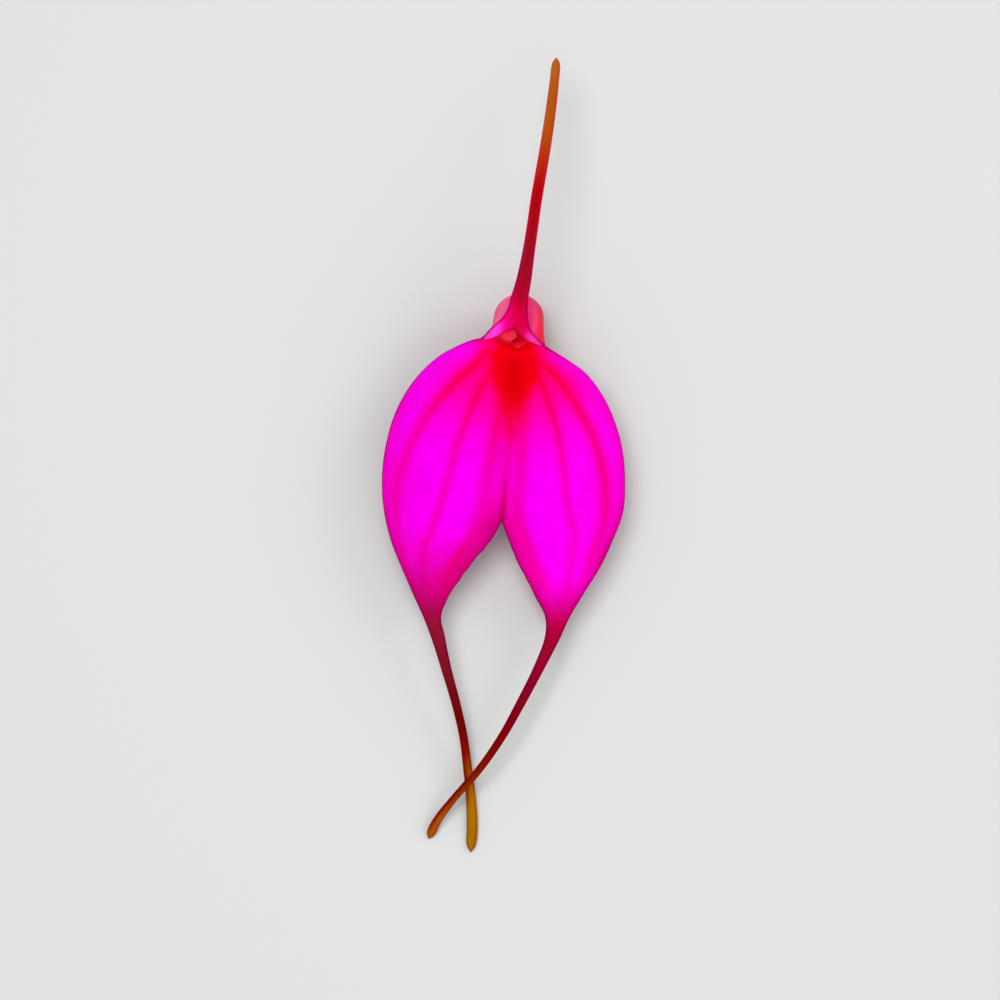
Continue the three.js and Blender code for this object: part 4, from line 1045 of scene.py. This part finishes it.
def tissue(name, roughness, gloss, mottle, pore, pore_depth, subsurface, margin=None):
    """Living tissue: its colour from the attribute tint, mottled, over a fine relief of cells.

    margin gives the colour, width and strength of a line of painted shade along the free edges. With it
    the tissue also gives off painted light where an attribute of the mesh asks for it.
    """
    material = bpy.data.materials.new(name)
    material.use_nodes = True
    tree = material.node_tree

    def made(kind, output, inputs=None, **settings):
        node = tree.nodes.new(kind)
        for key, value in settings.items():
            setattr(node, key, value)
        set_inputs(node, inputs or {})
        return node.outputs[output]

    def attribute(key, output="Fac"):
        return made("ShaderNodeAttribute", output, attribute_name=key)

    def mapped(value, low, high, to_low, to_high):
        ends = {"From Min": low, "From Max": high, "To Min": to_low, "To Max": to_high}
        return made("ShaderNodeMapRange", "Result", {"Value": value, **ends})

    def blended(share, colour, other, how):
        return made("ShaderNodeMix", 2, {0: share, 6: colour, 7: other}, data_type="RGBA", blend_type=how)

    tint = attribute("tint", "Color")
    place = made("ShaderNodeTexCoord", "Object")
    cloud = made("ShaderNodeTexNoise", "Fac", {"Vector": place, **CLOUD})
    cells = made("ShaderNodeTexVoronoi", "Distance", {"Vector": place, "Scale": pore})
    relief = {"Height": cells, "Strength": pore_depth, "Distance": CELL_HEIGHT}
    colour = blended(mapped(cloud, 0.35, 0.75, 0.0, mottle), tint, MOTTLED, "MULTIPLY")
    looks = {}
    if margin:
        # A thin line of painted shade along the free edges.
        edge_shade_colour, width, strength = margin
        line = mapped(attribute("rim"), 0.1, width, strength, 0.0)
        colour = blended(line, colour, (*linear(edge_shade_colour), 1), "MIX")
        # Painted light: the tissue gives off light in its own colour where the attribute asks for it.
        looks = {"Emission Color": tint, "Emission Strength": attribute("glow")}
    set_inputs(tree.nodes["Principled BSDF"], {
        "Base Color": colour,
        "Normal": made("ShaderNodeBump", "Normal", relief),
        "Roughness": mapped(cloud, 0.0, 1.0, roughness + POLISH[0], roughness + POLISH[1]),
        "Specular IOR Level": gloss,
        "Specular Tint": tint,
        "Subsurface Weight": subsurface,
        "Subsurface Radius": LIGHT_DEPTHS,
        "Subsurface Scale": LIGHT_DEPTH,
        **looks,
    })
    return material


def finish_piece(piece, material, slot, *nodes):
    piece.data.materials.append(material)
    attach(piece, "root")
    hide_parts(*nodes)


# ---------- Floor, light and camera ----------
CAMERA_DISTANCE = 562.5
CAMERA_LENS = 135
CAMERA_SENSOR = 36
CAMERA_NEAR = 0.01
VIEW_CENTRE = (-2.25, -24.3)  # of the face of the flower, in the middle of the picture
FLOOR_HALF = 2.0
FLOOR_GREY = (0.5, 0.5, 0.49, 1)
SKY = (0.95, 0.97, 1.0, 1)
SKY_STRENGTH = 0.6
LAMPS = [  # name, place, size and power
    ("key", (-0.12, 0.1, 0.68), 0.35, 3.3), ("fill", (0.12, -0.4, 0.5), 0.5, 1.3),
    ("side", (0.42, 0.2, 0.34), 0.3, 0.9),
]
LAMP_AIM = (0, 0, 0.01)


def studio():
    corners = [(FLOOR_HALF * x, FLOOR_HALF * y, 0) for x, y in ((-1, -1), (1, -1), (1, 1), (-1, 1))]
    mesh = bpy.data.meshes.new("floor")
    mesh.from_pydata(corners, [], [(0, 1, 2, 3)])
    material = bpy.data.materials.new("floor")
    material.use_nodes = True
    set_inputs(material.node_tree.nodes["Principled BSDF"], {"Base Color": FLOOR_GREY, "Roughness": 0.9})
    mesh.materials.append(material)
    floor = linked("floor", mesh)

    world = bpy.data.worlds.new("studio")
    bpy.context.scene.world = world
    world.use_nodes = True
    set_inputs(world.node_tree.nodes["Background"], {"Color": SKY, "Strength": SKY_STRENGTH})

    for name, place, size, power in LAMPS:
        light = bpy.data.lights.new(name, "AREA")
        light.size = size
        light.energy = power
        lamp = linked(name, light)
        lamp.location = place
        lamp.rotation_euler = (Vector(LAMP_AIM) - lamp.location).to_track_quat("-Z", "Y").to_euler()


def camera():
    lens = bpy.data.cameras.new("camera")
    lens.lens = CAMERA_LENS
    lens.sensor_width = CAMERA_SENSOR
    lens.clip_start = CAMERA_NEAR
    view = linked("camera", lens)
    view.location = (TO_ROW @ Vector((*VIEW_CENTRE, CAMERA_DISTANCE))) * MM
    view.rotation_euler = (FACE_TILT, 0, 0)
    bpy.context.scene.camera = view


camera()
studio()
bpy.context.scene.view_settings.view_transform = "Standard"

# The sepals' margin is a thin line of painted shade along their free edges.
sepal_skin = tissue("sepal_skin", roughness=0.5, gloss=0.05, mottle=0.25, pore=7000.0, pore_depth=0.3,
                    subsurface=0.85, margin=((88, 0, 52), 0.4, 0.85))
inner_skin = tissue("inner_skin", roughness=0.45, gloss=0.25, mottle=0.12, pore=9000.0, pore_depth=0.2,
                    subsurface=0.6)
green_skin = tissue("green_skin", roughness=0.45, gloss=0.5, mottle=0.6, pore=5000.0, pore_depth=0.3,
                    subsurface=0.15)
paper_skin = tissue("paper_skin", roughness=0.7, gloss=0.3, mottle=0.6, pore=4000.0, pore_depth=0.3,
                    subsurface=0.3)

finish_piece(sepals(), sepal_skin, "sepals", "sepals")
finish_piece(petal("petal_left_blade", -1, PETAL_ROWS), inner_skin, "petals", "petal_left")
finish_piece(petal("petal_right_blade", 1, PETAL_ROWS[:RIGHT_PETAL_END]), inner_skin, "petals",
             "petal_right")
finish_piece(lip(), inner_skin, "lip", "lip")
finish_piece(column(), inner_skin, "column", "column")
finish_piece(ovary(), green_skin, "ovary", "ovary")
finish_piece(floral_bract(), paper_skin, "bract", "floral_bract")
finish_piece(peduncle(), green_skin, "stem", "peduncle")
